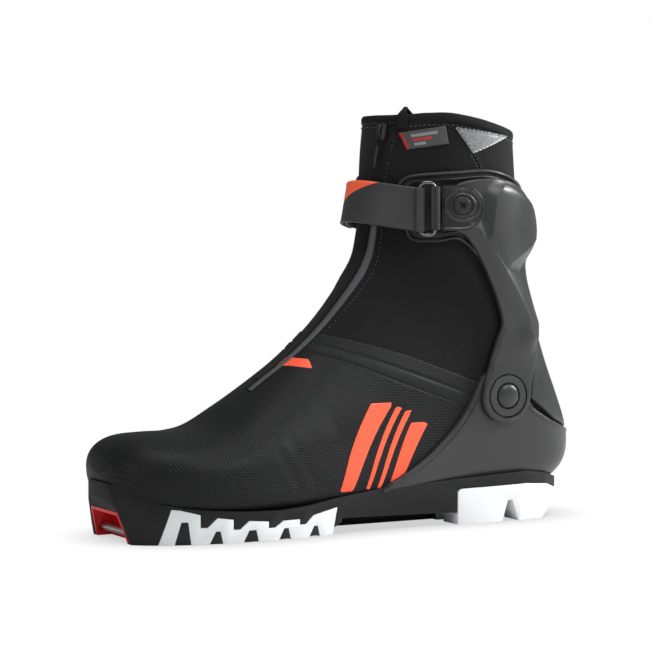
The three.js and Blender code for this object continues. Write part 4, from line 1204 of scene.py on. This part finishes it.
CUFF_OUTLINE = np.vstack([
    spline([[196, 178], [203, 171], [210, 167], [216, 160], [221, 152], [228, 139], [233, 127], [235.7, 117],
            [233, 108], [229, 96], [226, 86], [224.3, 78], [224, 71], [227, 64.5], [232.5, 60], [240, 58.3],
            [248, 60.5], [253.8, 66], [256.3, 75], [258, 86]]),
    spline([[261.5, 98], [265.5, 108], [270, 114.5], [278, 118], [305, 118.5]]),
    [[305, 190]],
    spline([[290, 181], [276, 184.5], [262, 191], [250, 196.5], [240, 199.5], [228, 200.5], [214, 199.8],
            [204, 197], [198, 190], [196, 184]])])
FRAME_OUTLINE = np.vstack([
    spline([[186, 163.4], [196, 163.6], [206, 165], [214, 160], [222, 152]]),
    [[262, 142], [305, 120], [305, 184]],
    spline([[275, 187.5], [261, 195], [250, 200], [239, 203.5], [224, 206], [205, 204.8], [183, 203],
            [177.6, 200.6], [175.4, 196], [176.6, 184], [179.4, 170], [181.6, 165.4], [186, 163.4]])])
# The facets of the cuff: a raised field on each wing that runs round the back, and a ridge down each arm.
WING_FACET = np.array([[236, 197.6], [275, 181.3], [320, 177.5], [320, 173], [279, 172.6], [239, 151.6],
                       [225, 167], [228, 190]], float)
FACET_FALL = ((0, 10, 18, 30), (3.2, -0.8, -0.6, 0))  # distance outside the field, height of the surface
ARM_RIDGE = np.array([[212, 173.5], [219, 168], [231, 153.4], [248, 130], [255, 118.5], [257.5, 108]], float)
ARM_PROUD, ARM_SLOPE = 2.5, 9.5
BULGE_HEIGHTS = (148, 151.5, 158, 164, 171, 177, 188, 198, 205)
BULGE = (0, 0.2, 3.6, 4.3, 4.9, 4.3, 2.0, 0.2, 0)
BOSS_RADIUS = 15.2


def cuff_bulge(points, table, share):
    """The cuff stands off the leg in an angular bulge behind it."""
    behind = np.maximum(0, -np.cos(table[:, TURN])) ** 2
    points[:, 1] += share * behind * np.interp(points[:, 2], BULGE_HEIGHTS, BULGE)
    return points


def boss_face(distance):
    """How far the arm's outer face is drawn onto the flat boss round the pivot."""
    return 1 - smooth(distance, BOSS_RADIUS - 1.6, BOSS_RADIUS + 7)


def cuff_shell():
    """The hard cuff: two wings, a spine with facets, and two arms that end in round bosses."""
    sheet, edge = cut_out(make_sheet(11.6, 18.9, 0.12, 0.88, step=2.0), CUFF_OUTLINE, SHELL_OUT)
    sheet = crease(sheet, edge, [1.0 * s for s in RIM_STEPS] + [2.2, 2.6])
    pivot = np.linalg.norm(side_view(sheet[0], SHELL_OUT) - PIVOT, axis=1)
    sheet = keep(with_column(sheet, pivot - 5.5), edge + 1)
    sheet = with_column(sheet, np.linalg.norm(side_view(sheet[0], SHELL_OUT) - PIVOT, axis=1))
    sheet = crease(sheet, edge + 2, [7.7, 12.7, 12.9, 13.2])
    sheet = with_depth(sheet, WING_FACET, SHELL_OUT)
    sheet = crease(sheet, edge + 3, [-0.5, 0, 0.5])
    sheet = with_column(sheet, line_distance(side_view(sheet[0], SHELL_OUT), ARM_RIDGE))
    sheet = crease(sheet, edge + 4, [0.35, 0.9])
    table, faces = sheet
    distance = table[:, edge + 2]
    arm = 1 - smooth(table[:, 2], 100, 112)
    low = SHELL_IN + (ARM_IN - SHELL_IN) * arm
    height = low + 0.3 + (SHELL_OUT + 0.4 * arm - low - 0.3) * rim(table[:, edge], 1.0)
    wing = np.interp(-table[:, edge + 3], *FACET_FALL)
    wing = np.where(wing < 0, wing * smooth(table[:, 1], 226, 238), wing)
    ridge_up = ARM_PROUD * tent(np.maximum(0, table[:, edge + 4] - 0.35), ARM_SLOPE)
    height += np.where(ridge_up > 0, np.maximum(wing, ridge_up), wing) * smooth(table[:, edge], 0, 7)
    height -= 0.35 * (table[:, edge] < 2.4) * (distance < 40)

    def shape(points, doubled):
        count = len(doubled) // 2
        pull = boss_face(doubled[:count, edge + 2])
        side = np.sign(doubled[:count, 0])
        seat = 2.4 * (doubled[:count, edge + 2] < 12.8) + 0.6 * (doubled[:count, edge] < 0.9)
        points[:count, 0] += (side * (PIVOT_FACE - seat) - points[:count, 0]) * pull
        inner = points[count:]
        inner[:, 0] += (side * 39.3 - inner[:, 0]) * pull
        return cuff_bulge(points, doubled, 1)

    made = skin("cuff_body", (table, faces), low, height, "plastic", shift=shape, corner_angle=25)
    own(made, "cuff", "grey_plastic", "cuff_shell")


def cuff_frame():
    """The softer frame that the cuff is moulded onto: a rounded outer rail, a channel and an inner rail."""
    sheet, edge = cut_out(make_sheet(14, 19.4, 0.06, 0.94), FRAME_OUTLINE, FRAME_OUT)
    sheet = crease(sheet, edge, [0.2, 0.7, 1.3, 1.9, 2.4, 2.6, 3.6, 3.9, 4.5, 5.1, 5.6])
    table = sheet[0]
    d = table[:, edge]
    height = np.full(len(table), 1.6)
    height += 2.0 * ridge(d - 1.2, 1.25)
    height += 1.3 * ridge(d - 4.6, 0.95) * (table[:, 1] < 262)
    height -= 0.6 * (d > 6.5)
    made = skin("cuff_rim", sheet, FRAME_IN, height, "dark", shift=lambda p, t: cuff_bulge(p, t, 0.35),
                corner_angle=50)
    own(made, "cuff", "dark_plastic", "cuff_frame")


def achilles_panel():
    """The padded panel over the tendon, below the cuff's spine."""
    region = [[258.6, 72], [260, 92], [267, 114.5], [340, 114.5], [340, 48.6], [302, 49.2], [278, 58.1]]
    sheet, edge = cut_out(make_sheet(12.2, 17.6, 0.25, 0.75), region, 2.2)
    sheet = crease(sheet, edge, RIM_STEPS)
    table = sheet[0]
    height = 0.3 + 1.9 * rim(table[:, edge], 1.0) + 0.25 * np.cos(table[:, 2] / 9)
    made = skin("tendon_panel", sheet, -0.6, height, "plastic", corner_angle=60)
    own(made, "upper", "vamp_fabric", "achilles_panel")


def heel_tab():
    """The small bright tab on the tendon panel, just under the cuff."""
    sheet = make_sheet(15.6, 17.3, 0.44, 0.56, step=0.7)
    table = sheet[0]
    height_in = np.minimum(table[:, 2] - 102, 111.6 - table[:, 2])
    inset = np.minimum(height_in, 7 - np.abs(table[:, 0]))
    edge = table.shape[1]
    sheet = crease(keep(with_column(sheet, inset), edge), edge, [0.2, 0.6])
    height = 2.5 + 0.9 * rim(sheet[0][:, edge], 0.6)
    made = skin("bright_heel_tab", sheet, 2.2, height, "red")
    own(made, "upper", "red_plastic", "heel_tab")


def pivots():
    """The flush washer in each boss and the domed cap of the stud that the cuff turns on."""
    centre = (0, *PIVOT)
    face = PIVOT_FACE
    washer = [(face - 2.3, 7.7), (face - 2.3, 12.0), (face - 0.1, 12.0), (face + 0.25, 11.7),
              (face + 0.25, 8.0), (face - 0.1, 7.7)]
    stud = [(33, 0), (33, 8.6), (34.6, 8.6), (34.6, 5), (face - 1.8, 5), (face - 1.8, 6.9)]
    cap = [(face - 0.1, 6.9), (face + 0.5, 6.6), (face + 1.0, 5.8), (face + 1.5, 4.2), (face + 1.8, 2),
           (face + 1.85, 0)]
    for side, word in ((1, "outer"), (-1, "inner")):
        axis = (side, 0, 0)
        ring = lathe_ring(f"pivot_ring_{word}", washer, centre, axis, "plastic")
        pin = lathe(f"pivot_cap_{word}", stud + cap, centre, axis, "plastic")
        own(ring, "boot", "grey_plastic", f"pivot_washer_{word}")
        own(pin, "boot", "grey_plastic", f"pivot_stud_{word}")


# ---- Strap closure ----
TAB_LOW = SHELL_OUT + 0.3
STRAP_WIDTH = 25.0
RING_REACH = 8.6
STRAP_LEAN = 0.22  # how far back the strap's top edge lies, for each millimetre of height, at the front
STRAP_PULL = 1.4  # how much closer to the leg the strap lies at the front
STRAP_RUN = 48  # length of strap for each radian round the leg
TIP_START, TIP_DROP = math.radians(66), 16.5  # where the orange tip starts at the top, its fall per radian


def leg_point(angle, offset, z, oval=LEG):
    """A point of the leg's oval: angle 0 is the outer side and a quarter turn is the front."""
    centre, a, b = oval
    angle, offset, z = np.broadcast_arrays(*(np.asarray(value, float) for value in (angle, offset, z)))
    return np.stack([(a + offset) * np.cos(angle), centre - (b + offset) * np.sin(angle), z], -1)


def wing_point(side, y, offset):
    centre, a, b = LEG
    angle = math.asin((centre - y) / (b + offset))
    point = leg_point(angle, offset, SCREW_Z)
    normal = unit([math.cos(angle) / a, -math.sin(angle) / b, 0])
    return point * [side, 1, 1], normal * [side, 1, 1]


def strap_middle(angle):
    return 181.5 + 5.8 * max(0.0, math.sin(angle)) ** 3


def flat_section(low, high, half, edge=0.5, rail=0.22):
    """Half-round edged section of a strap: (offset, height) pairs, with a fine rail along each edge."""
    middle, thick = (low + high) / 2, (high - low) / 2
    inset = half - edge
    turns = (-PI / 3, -PI / 6)
    points = [(low, -inset)]
    points += [(middle + thick * math.sin(t), -inset - edge * math.cos(t)) for t in turns]
    rails = ((high, inset), (high + rail, inset - 0.35), (high + rail, inset - 1.0), (high, inset - 1.5))
    points += [(offset, -height) for offset, height in rails]
    points += [(high, half * share) for share in (-0.5, 0, 0.5)]
    points += rails[::-1]
    points += [(middle - thick * math.sin(t), inset + edge * math.cos(t)) for t in turns]
    points += [(low, inset)] + [(low, half * share) for share in (0.5, 0, -0.5)]
    return np.array(points)


def strap_band(name, start, end, section_at, steps):
    """A band swept round the leg; the section may change with the angle."""
    rings, coords = [], []
    for angle in np.linspace(math.radians(start), math.radians(end), steps):
        offset, up = section_at(angle).T
        front = max(0.0, math.sin(angle))
        lean = STRAP_LEAN * front ** 2
        up_leaning = up / math.hypot(1, lean)
        points = leg_point(angle, offset, strap_middle(angle) + up_leaning, STRAP_OVAL)
        points[:, 1] += lean * up_leaning + STRAP_PULL * front ** 3
        rings.append(points)
        coords.append(np.stack([np.full(len(points), angle * STRAP_RUN), up], 1))
    return ring_mesh(name, rings, "strap", corner_angle=50, attributes={"foot": np.vstack(coords)})


def color_strap_tip(made):
    """Cuts the strap's mesh along a slanting line and makes what lies beyond it orange."""
    mesh = made.data
    mesh.materials.append(MATERIALS["strap_orange"])
    work = bmesh.new()
    work.from_mesh(mesh)
    layer = work.verts.layers.float_vector["foot"]

    def beyond(vertex):
        along, height = vertex[layer][0], vertex[layer][1]
        return (along / STRAP_RUN - TIP_START) * TIP_DROP - (STRAP_WIDTH / 2 - height)

    for edge in list(work.edges):
        a, b = (beyond(v) for v in edge.verts)
        if a * b < -1e-9:
            bmesh.utils.edge_split(edge, edge.verts[0], a / (a - b))
    for face in list(work.faces):
        on_line = [v for v in face.verts if abs(beyond(v)) < 2e-3]
        if len(on_line) == 2 and len(face.verts) > 3 and not work.edges.get(on_line):
            bmesh.utils.face_split(face, on_line[0], on_line[1])
    for face in work.faces:
        face.material_index = int(sum(beyond(v) for v in face.verts) > 0)
    work.to_mesh(mesh)
    work.free()
    mesh.set_sharp_from_angle(angle=math.radians(50))


REAR_WIRE = leg_point(math.radians(27.5), 7.3, 0)
FORWARD = np.array([-math.sin(math.radians(31)), -math.cos(math.radians(31)), 0])
FRONT_WIRE = REAR_WIRE + FORWARD * RING_REACH


def upright_roll(name, centre, radius, low, high, look):
    """A vertical roll of strap round a wire, open where the wire passes."""
    outer = [(low, radius * 0.62), (low, radius - 0.35), (low + 0.35, radius), (high - 0.35, radius),
             (high, radius - 0.35), (high, radius * 0.62)]
    return lathe_ring(name, outer, (centre[0], centre[1], 0), (0, 0, 1), look, 40)


def straps():
    half = STRAP_WIDTH / 2
    flap = strap_band("strap_outer", 34, 138, lambda angle: flat_section(5, 6.4, half), 90)
    color_strap_tip(flap)
    middle = strap_middle(math.radians(33))
    roll = upright_roll("strap_fold", FRONT_WIRE, 2.9, middle - half, middle + half, "strap")
    own(flap, "strap_flap", "strap_rubber", "strap_flap")
    own(roll, "strap_flap", "strap_rubber")

    def under(angle):
        rise = smooth(math.degrees(angle), 144, 152)
        low = 2.2 + (SHELL_OUT + 0.5 - 2.2) * rise
        return flat_section(low, low + 1.2, half, rail=0.0)

    inner = strap_band("strap_inner", 42, 173, under, 120)
    own(inner, "cuff", "strap_rubber", "ankle_strap")


def wire_ring():
    """The wire ring between the tab and the strap."""
    corner = 3.2
    rear, front = corner, RING_REACH - corner
    bottom, top = SCREW_Z - 17 + corner, SCREW_Z + 13 - corner
    path = []
    for number, (ahead, up) in enumerate(((front, top), (rear, top), (rear, bottom), (front, bottom))):
        for turn in np.radians(number * 90 + np.linspace(0, 90, 9)):
            reach = FORWARD * (ahead + corner * math.cos(turn))
            path.append(REAR_WIRE + reach + [0, 0, up + corner * math.sin(turn)])
    normal = np.cross([0, 0, 1], FORWARD)
    made = tube("ring_wire", path, 1.0, "wire", 14, looped=True, up=normal)
    own(made, "strap_ring", "steel", "strap_ring")


TAB_STEP = 0.55
TAB_SCREW = np.array([0, 1.5])  # the screw's place on the tab's own plane
TAB_EDGE, TAB_RINGS, TAB_GROOVE, TAB_HOLE = 12, 13, 14, 15  # columns of the tab's table


def tab_sheet():
    """The tab's D shape on the leg: an arc to the rear and a straight side that reaches the roll."""
    angles = np.radians(np.arange(-3.5, 23.5, math.degrees(TAB_STEP / 46)))
    heights = np.arange(-13.4, 13.5, TAB_STEP)
    angle, height = np.meshgrid(angles, heights, indexing="ij")
    base = leg_point(angle, TAB_LOW, SCREW_Z - 1.5 + height).reshape(-1, 3)
    out = unit(np.stack([np.cos(angle) / LEG[1], -np.sin(angle) / LEG[2], 0 * angle], -1)).reshape(-1, 3)
    along = (angle.ravel() - math.asin((LEG[0] - SCREW_Y) / (LEG[2] + TAB_LOW))) * 47
    flat = np.stack([along, height.ravel()], 1)
    table = np.hstack([base, out, flat, flat, flat])
    faces = grid_faces(len(angles), len(heights))[:, ::-1]
    arc = [[12.0 * math.cos(t) + 0.2, 13.0 * math.sin(t)] for t in np.linspace(PI / 2, 1.5 * PI, 25)]
    shape = np.array(arc + [[12.2, -13.0], [12.2, 13.0]])
    return keep(with_column((table, faces), depth(flat, shape)), TAB_EDGE)


def buckle_tab():
    """The D-shaped tab: raised border, rings round the screw, a groove and the roll that holds the ring."""

    def from_screw(sheet):
        return np.linalg.norm(sheet[0][:, FOOT] - TAB_SCREW, axis=1)

    sheet = crease(tab_sheet(), TAB_EDGE, [0.3, 1.2, 1.7, 2.1])
    ring_edges = [2.6, 5.4, 5.9, 6.6, 7.1, 8.2, 8.7, 9.3, 9.8]
    sheet = crease(with_column(sheet, from_screw(sheet)), TAB_RINGS, ring_edges)
    groove = np.abs(sheet[0][:, 6] - 9.9)
    sheet = crease(with_column(sheet, groove), TAB_GROOVE, [0.4, 0.8])
    sheet = keep(with_column(sheet, from_screw(sheet) - 2.3), TAB_HOLE)
    table = sheet[0]
    edge, radius = table[:, TAB_EDGE], table[:, TAB_RINGS]
    height = 1.35 + 0.55 * rim(edge, 0.5) - 0.35 * smooth(edge, 1.2, 2.0)
    height += 0.35 * (ridge(radius - 6.25, 0.8) + ridge(radius - 9.0, 0.8)) - 0.3 * (radius < 5.6)
    height -= 0.6 * ridge(table[:, TAB_GROOVE], 0.7)
    made = skin("tab_plate", sheet, 0, height, "dark", corner_angle=35)
    roll = upright_roll("tab_roll", REAR_WIRE, 3.1, SCREW_Z - 14, SCREW_Z + 11, "dark")
    own(made, "buckle_tab", "dark_plastic", "buckle_tab")
    own(roll, "buckle_tab", "dark_plastic")


def screws():
    """Cross-recessed screws through the tab and through the inner end of the strap."""
    for side, face, name, node in ((1, 2.0, "tab_screw", "buckle_screw"),
                                   (-1, 2.1, "inner_screw", "strap_screw")):
        point, normal = wing_point(side, SCREW_Y, SHELL_OUT)
        shank = [(-SHELL_OUT - 0.2, 0), (-SHELL_OUT - 0.2, 2.0), (face - 0.2, 2.0), (face - 0.2, 4.9)]
        head = [(face + 0.1, 4.9), (face + 0.45, 4.5), (face + 0.6, 3.4), (face + 0.7, 1.8), (face + 0.7, 0)]
        made = lathe(name, shank + head, point, normal, "dark", 48)
        across = unit(np.cross(normal, [0, 0, 1]))
        cutters = []
        for turn in (PI / 4, 3 * PI / 4):
            run = math.cos(turn) * across + math.sin(turn) * np.array([0, 0, 1.0])
            wide = np.cross(normal, run)
            rings = []
            for out, half_run, half_wide in ((face - 0.6, 1.2, 0.35), (face + 1.4, 2.9, 0.7)):
                centre = point + normal * out
                rings.append([centre + run * half_run * sr + wide * half_wide * sw
                              for sr, sw in ((-1, -1), (1, -1), (1, 1), (-1, 1))])
            cutters.append(ring_mesh("recess", rings, "dark"))
        boolean(made, cutters)
        made.data.set_sharp_from_angle(angle=math.radians(32))
        own(made, "cuff", "dark_plastic", node)


# ---- Zip slider, puller and small trim ----
SLIDER_ROW = 19.1


def slider_frame():
    angle = angle_at_x(np.array([SLIDER_ROW]), float(zip_x(SLIDER_ROW)))[0]
    base = body_point(SLIDER_ROW, angle)
    normal = body_normal(SLIDER_ROW, angle)
    up = unit([0, 0.1, 1])
    return base, normal, up, unit(np.cross(up, normal))


def zip_slider():
    base, normal, up, across = slider_frame()
    cosine, sine = squared_circle(20, 0.5)
    rings = []
    for along, half, thick in ((-4.6, 2.0, 0.7), (-4.0, 2.5, 1.1), (-1, 3.0, 1.25),
                               (2.5, 3.5, 1.25), (4.1, 3.3, 1.1), (4.6, 2.7, 0.7)):
        centre = base + normal * 3.6 + up * along
        rings.append(centre + half * cosine[:, None] * across + thick * sine[:, None] * normal)
    made = ring_mesh("slider_body", rings, "dark", corner_angle=35)
    arch = []
    for t in np.linspace(0, PI, 15):
        arch.append(base + normal * (4.6 + 1.5 * math.sin(t)) + up * (0.5 + 3.0 * math.cos(t)))
    bridge = tube("slider_bridge", arch, 0.55, "dark", 10, up=across)
    own(made, "zip_slider", "steel", "zip_slider")
    own(bridge, "zip_slider", "steel")


def zip_puller():
    """A thin cord with a thicker moulded sleeve over its lower half."""
    base, normal, _, _ = slider_frame()
    down = unit([-0.157, -0.147, -0.977])

    def hang(start, end, steps):
        run = np.linspace(start, end, steps)[:, None]
        return base + down * run + normal * np.interp(run, (0, 4, 21), (6.1, 5.1, 3.3))

    sleeve = hang(8.5, 21, 24)
    share = np.linspace(0, 1, len(sleeve))
    thick = 0.5 + 0.45 * np.sqrt(np.clip(1 - (2 * share - 1) ** 6, 0, 1)) - 0.2 * share
    cords = tube("puller_cord", hang(-0.2, 11, 16), 0.48, "webbing", 10)
    grip = tube("puller_grip", sleeve, thick, "dark", 14)
    own(cords, "zip_puller", "webbing", "zip_puller")
    own(grip, "zip_puller", "webbing")


def pull_loop():
    """A folded webbing loop sewn over the collar's rim, pinched to a point above it."""
    row, angle = 19.5, 0.62
    outside = offset_point(row, angle, 1.3)
    outside[2] = 235.6
    inward = -unit(body_normal(row, angle) * [1, 1, 0])
    across = np.array([-inward[1], inward[0], 0])
    span = SKIN + LINER + 4
    way_up = [[-0.2, -6.4], [-0.1, -2], [0.9, 2], [span / 2 - 1.2, 4.6]]
    path = spline(way_up + [[span / 2, 5.4]] + [[span - along, rise] for along, rise in way_up[::-1]], 5)
    tangent = np.gradient(path, axis=0)
    side = unit(np.stack([tangent[:, 1], -tangent[:, 0]], 1))
    rings = []
    for (along, rise), (out, up) in zip(path, side):
        half = 3.2 - 2.2 * smooth(rise, 0, 5.4)
        upper = [(half, 0.45), (half - 0.3, 0.6), (0.3 - half, 0.6), (-half, 0.45)]
        centre = outside + inward * along + np.array([0, 0, rise])
        direction = inward * out + np.array([0, 0, up])
        lower = [(-a, -b) for a, b in upper]
        rings.append([centre + across * a + direction * b for a, b in lower + upper])
    made = ring_mesh("rim_loop", rings, "webbing", corner_angle=60)
    own(made, "cuff", "webbing", "pull_loop")


LABEL = np.array([[178, 226.6], [199.5, 230.6], [201.4, 220.2], [181, 216.8]])
REFLECTOR = np.array([[204.5, 229.8], [244.6, 225], [216.2, 214.6]])


def between(line_a, line_b, share):
    return line_a + (line_b - line_a) * share


def label_box(left, right, top, low):
    """A patch of the label, by shares of its width from the left and of its height from the top."""
    left_top, right_top, right_low, left_low = LABEL
    return np.array([between(between(left_top, right_top, x), between(left_low, right_low, x), y)
                     for x, y in ((left, top), (right, top), (right, low), (left, low))])


# A plain mark: three short bars of falling length, beside a red edge.
BARS = [label_box(0.2, right, top, top + 0.16) for right, top in ((0.78, 0.2), (0.62, 0.44), (0.46, 0.68))]
RED_EDGE = label_box(0, 0.07, 0, 1)
LABEL_LOOKS = ("label", "label_red", "label_grey")
SHAPE_LOOKS = (2, 1, 2, 1)  # number in LABEL_LOOKS of each bar and of the red edge


def woven_label():
    sheet = side_sheet(LABEL, 0.45)
    edge = sheet[0].shape[1]
    sheet = keep(with_depth(sheet, LABEL), edge, 0.02)
    shapes = BARS + [RED_EDGE]
    for number, shape in enumerate(shapes):
        sheet = crease(with_depth(sheet, shape), edge + 1 + number, [0])
    table, faces = sheet
    height = 0.5 + 0.7 * rim(table[:, edge], 0.5)
    height += 0.18 * (table[:, edge + 1:edge + 4].max(axis=1) > -0.05)
    middles = face_middles(table, faces)
    face_look = np.zeros(len(faces), int)
    for look, shape in zip(SHAPE_LOOKS, shapes):
        face_look[inside(middles, shape)] = look
    made = skin("sewn_label", sheet, 0.2, height, LABEL_LOOKS, face_look, corner_angle=45)
    own(made, "cuff", "label", "woven_label")


def reflective_patch():
    """The reflective triangle with its pale and its dark stitching."""
    sheet = side_sheet(REFLECTOR, 0.6)
    edge = sheet[0].shape[1]
    sheet = keep(with_depth(sheet, REFLECTOR), edge, 0.02)
    sheet = crease(sheet, edge, [0.5])
    height = 0.35 + 0.5 * rim(sheet[0][:, edge], 0.5) - 0.12 * ridge(sheet[0][:, edge] - 1.4, 0.8)
    made = skin("reflective_triangle", sheet, 0.1, height, "reflector", corner_angle=45)
    own(made, "cuff", "reflector", "reflective_patch")
    middle = REFLECTOR.mean(axis=0)
    low = [between(REFLECTOR[k], middle, 0.09) for k in range(3)]
    for name, a, b, look in (("reflector_stitching_front", low[0], low[2], "thread"),
                             ("reflector_stitching_low", low[2], low[1], "pale_thread"),
                             ("reflector_stitching_top", low[1], low[0], "thread")):
        points, normals = on_body(np.array([between(a, b, s) for s in np.linspace(0, 1, 40)]), 0.82)
        row = stitches(name, points, normals, look, 1.7, 1.1, 0.3)
        own(row, "cuff", "reflector")
    for shift in (-1.1, 1.1):
        seam = spline(BACK_SEAM[:3], 10) + [shift, 0]
        points, normals = on_body(seam, 0.15)
        row = stitches(f"seam_stitching_{'front' if shift < 0 else 'back'}", points, normals, "thread",
                       1.5, 0.9, 0.24)
        own(row, "cuff", "softshell")


# ---- Sole ----
def finish_cad(made, look):
    """Gives a CAD mesh its material, with smooth faces between crisp corners."""
    mesh = made.data
    mesh.materials.clear()
    mesh.materials.append(MATERIALS[look])
    mesh.polygons.foreach_set("use_smooth", np.ones(len(mesh.polygons), bool))
    mesh.set_sharp_from_angle(angle=math.radians(40))


def hard_part(node, name, look, slot, width):
    """A copy of a CAD solid with rounded edges."""
    made = add(name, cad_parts[node].data.copy())
    weld = made.modifiers.new("weld", "WELD")
    weld.merge_threshold = 0.02 * MM
    flatten = made.modifiers.new("flatten", "DECIMATE")
    flatten.decimate_type = "DISSOLVE"
    flatten.angle_limit = math.radians(1.5)
    bevel = made.modifiers.new("bevel", "BEVEL")
    bevel.width = width * MM
    bevel.segments = 2
    bevel.limit_method = "ANGLE"
    bevel.angle_limit = math.radians(32)
    bevel.use_clamp_overlap = True
    apply_modifiers(made)
    finish_cad(made, look)
    own(made, "boot", slot, node)


SOLE_PARTS = (  # CAD node, piece, look, slot, width of the rounded edge
    ("outsole", "sole_unit", "sole", "black_rubber", 0.6),
    ("forefoot_tread_outer", "front_tread_outer", "tread", "white_rubber", 0.5),
    ("forefoot_tread_inner", "front_tread_inner", "tread", "white_rubber", 0.5),
    ("heel_tread", "rear_tread", "tread", "white_rubber", 0.6),
    ("toe_insert", "binding_socket", "red", "red_plastic", 0.35),
)


def sole():
    for part in SOLE_PARTS:
        hard_part(*part)
    box_low, box_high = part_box("binding_bar")
    middle = (box_low + box_high) / 2
    radius = (box_high.z - box_low.z) / 2 / MM
    length = box_high.x / MM
    centre = (0, middle.y / MM + HEEL_STATION, middle.z / MM)
    profile = [(-length, 0), (-length, radius - 0.4), (-length + 0.4, radius), (length - 0.4, radius),
               (length, radius - 0.4), (length, 0)]
    bar = lathe("bar", profile, centre, (1, 0, 0), "steel", 40)
    own(bar, "boot", "steel", "binding_bar")


def inside_parts():
    """Board and footbed keep their CAD shape under a finish of their own."""
    finish_cad(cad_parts["lasting_board"], "board")
    finish_cad(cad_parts["footbed"], "foam")


# ---- Floor, light and camera ----
def camera_only(tree, seen, other):
    """Mixes two shaders: one that the camera sees and one that lights the object."""
    path = tree.nodes.new("ShaderNodeLightPath")
    mix = tree.nodes.new("ShaderNodeMixShader")
    tree.links.new(path.outputs["Is Camera Ray"], mix.inputs[0])
    tree.links.new(other, mix.inputs[1])
    tree.links.new(seen, mix.inputs[2])
    return mix.outputs[0]


def white_floor():
    """A pale floor that the camera sees as white, with a soft contact shadow."""
    shader = Shader("pale_floor", (0.8, 0.8, 0.8), 0.8)
    near = shader.node("ShaderNodeAmbientOcclusion", {"Distance": 0.035}, samples=12).outputs["AO"]
    shade = shader.remap(near, 0.25, 0.9, 0.62, 1.0, smooth_step=False)
    glow = shader.node("ShaderNodeEmission", {"Strength": shade})
    surface = camera_only(shader.tree, glow.outputs[0], shader.bsdf.outputs[0])
    shader.tree.links.new(surface, shader.tree.nodes["Material Output"].inputs["Surface"])
    return shader.material


def studio_world():
    world = bpy.data.worlds.new("studio")
    world.use_nodes = True
    tree = world.node_tree
    dim = tree.nodes["Background"]
    dim.inputs["Strength"].default_value = 0.2
    dim.inputs["Color"].default_value = (0.97, 0.98, 1, 1)
    bright = tree.nodes.new("ShaderNodeBackground")
    bright.inputs["Color"].default_value = (1, 1, 1, 1)
    surface = camera_only(tree, bright.outputs[0], dim.outputs[0])
    tree.links.new(surface, tree.nodes["World Output"].inputs["Surface"])
    return world


FLOOR_HALF = 6.0
LIGHT_TARGET, CAMERA_TARGET = (0, -0.1, 0.12), (0, -0.1, 0.116)
CAMERA_AZIMUTH, CAMERA_ELEVATION, CAMERA_DISTANCE = 62, 3, 1.5
SOFTBOXES = (  # name, azimuth, elevation, distance, size, power
    ("key", 110, 40, 1.3, 0.5, 8),
    ("fill", 15, 15, 1.5, 0.8, 4),
    ("back", 162, 24, 1.2, 0.35, 17),
    ("top", 60, 80, 1.2, 0.7, 7),
)


def studio():
    mesh = bpy.data.meshes.new("floor")
    corners = [(FLOOR_HALF * x, FLOOR_HALF * y, 0) for x, y in ((-1, -1), (1, -1), (1, 1), (-1, 1))]
    mesh.from_pydata(corners, [], [[0, 1, 2, 3]])
    mesh.materials.append(white_floor())
    add("floor", mesh)
    bpy.context.scene.world = studio_world()
    bpy.context.scene.view_settings.view_transform = "Standard"
    for name, azimuth, elevation, distance, size, power in SOFTBOXES:
        light = bpy.data.lights.new(name, "AREA")
        light.size = size
        light.energy = power
        aim(add(name, light), LIGHT_TARGET, azimuth, elevation, distance)


def aim(holder, target, azimuth, elevation, distance):
    """Puts an object at an azimuth and elevation from a target, looking at it. Azimuth 0 looks along +Y."""
    a, e = math.radians(azimuth), math.radians(elevation)
    back = np.array([math.sin(a) * math.cos(e), -math.cos(a) * math.cos(e), math.sin(e)])
    holder.location = (np.array(target) + back * distance).tolist()
    holder.rotation_euler = Vector(back.tolist()).to_track_quat("Z", "Y").to_euler()


def camera():
    data = bpy.data.cameras.new("camera")
    data.lens = 144
    data.sensor_width = 36
    holder = add("camera", data)
    aim(holder, CAMERA_TARGET, CAMERA_AZIMUTH, CAMERA_ELEVATION, CAMERA_DISTANCE)
    bpy.context.scene.camera = holder


for build in (vamp, gaiter, collar_binding, collar_lining, inner_boot, zip_closure, tongue_and_lace,
              heel_counter, cuff_shell, cuff_frame, achilles_panel, heel_tab, pivots, straps, wire_ring,
              buckle_tab, screws, zip_slider, zip_puller, pull_loop, woven_label, reflective_patch,
              sole, inside_parts, studio, camera):
    build()
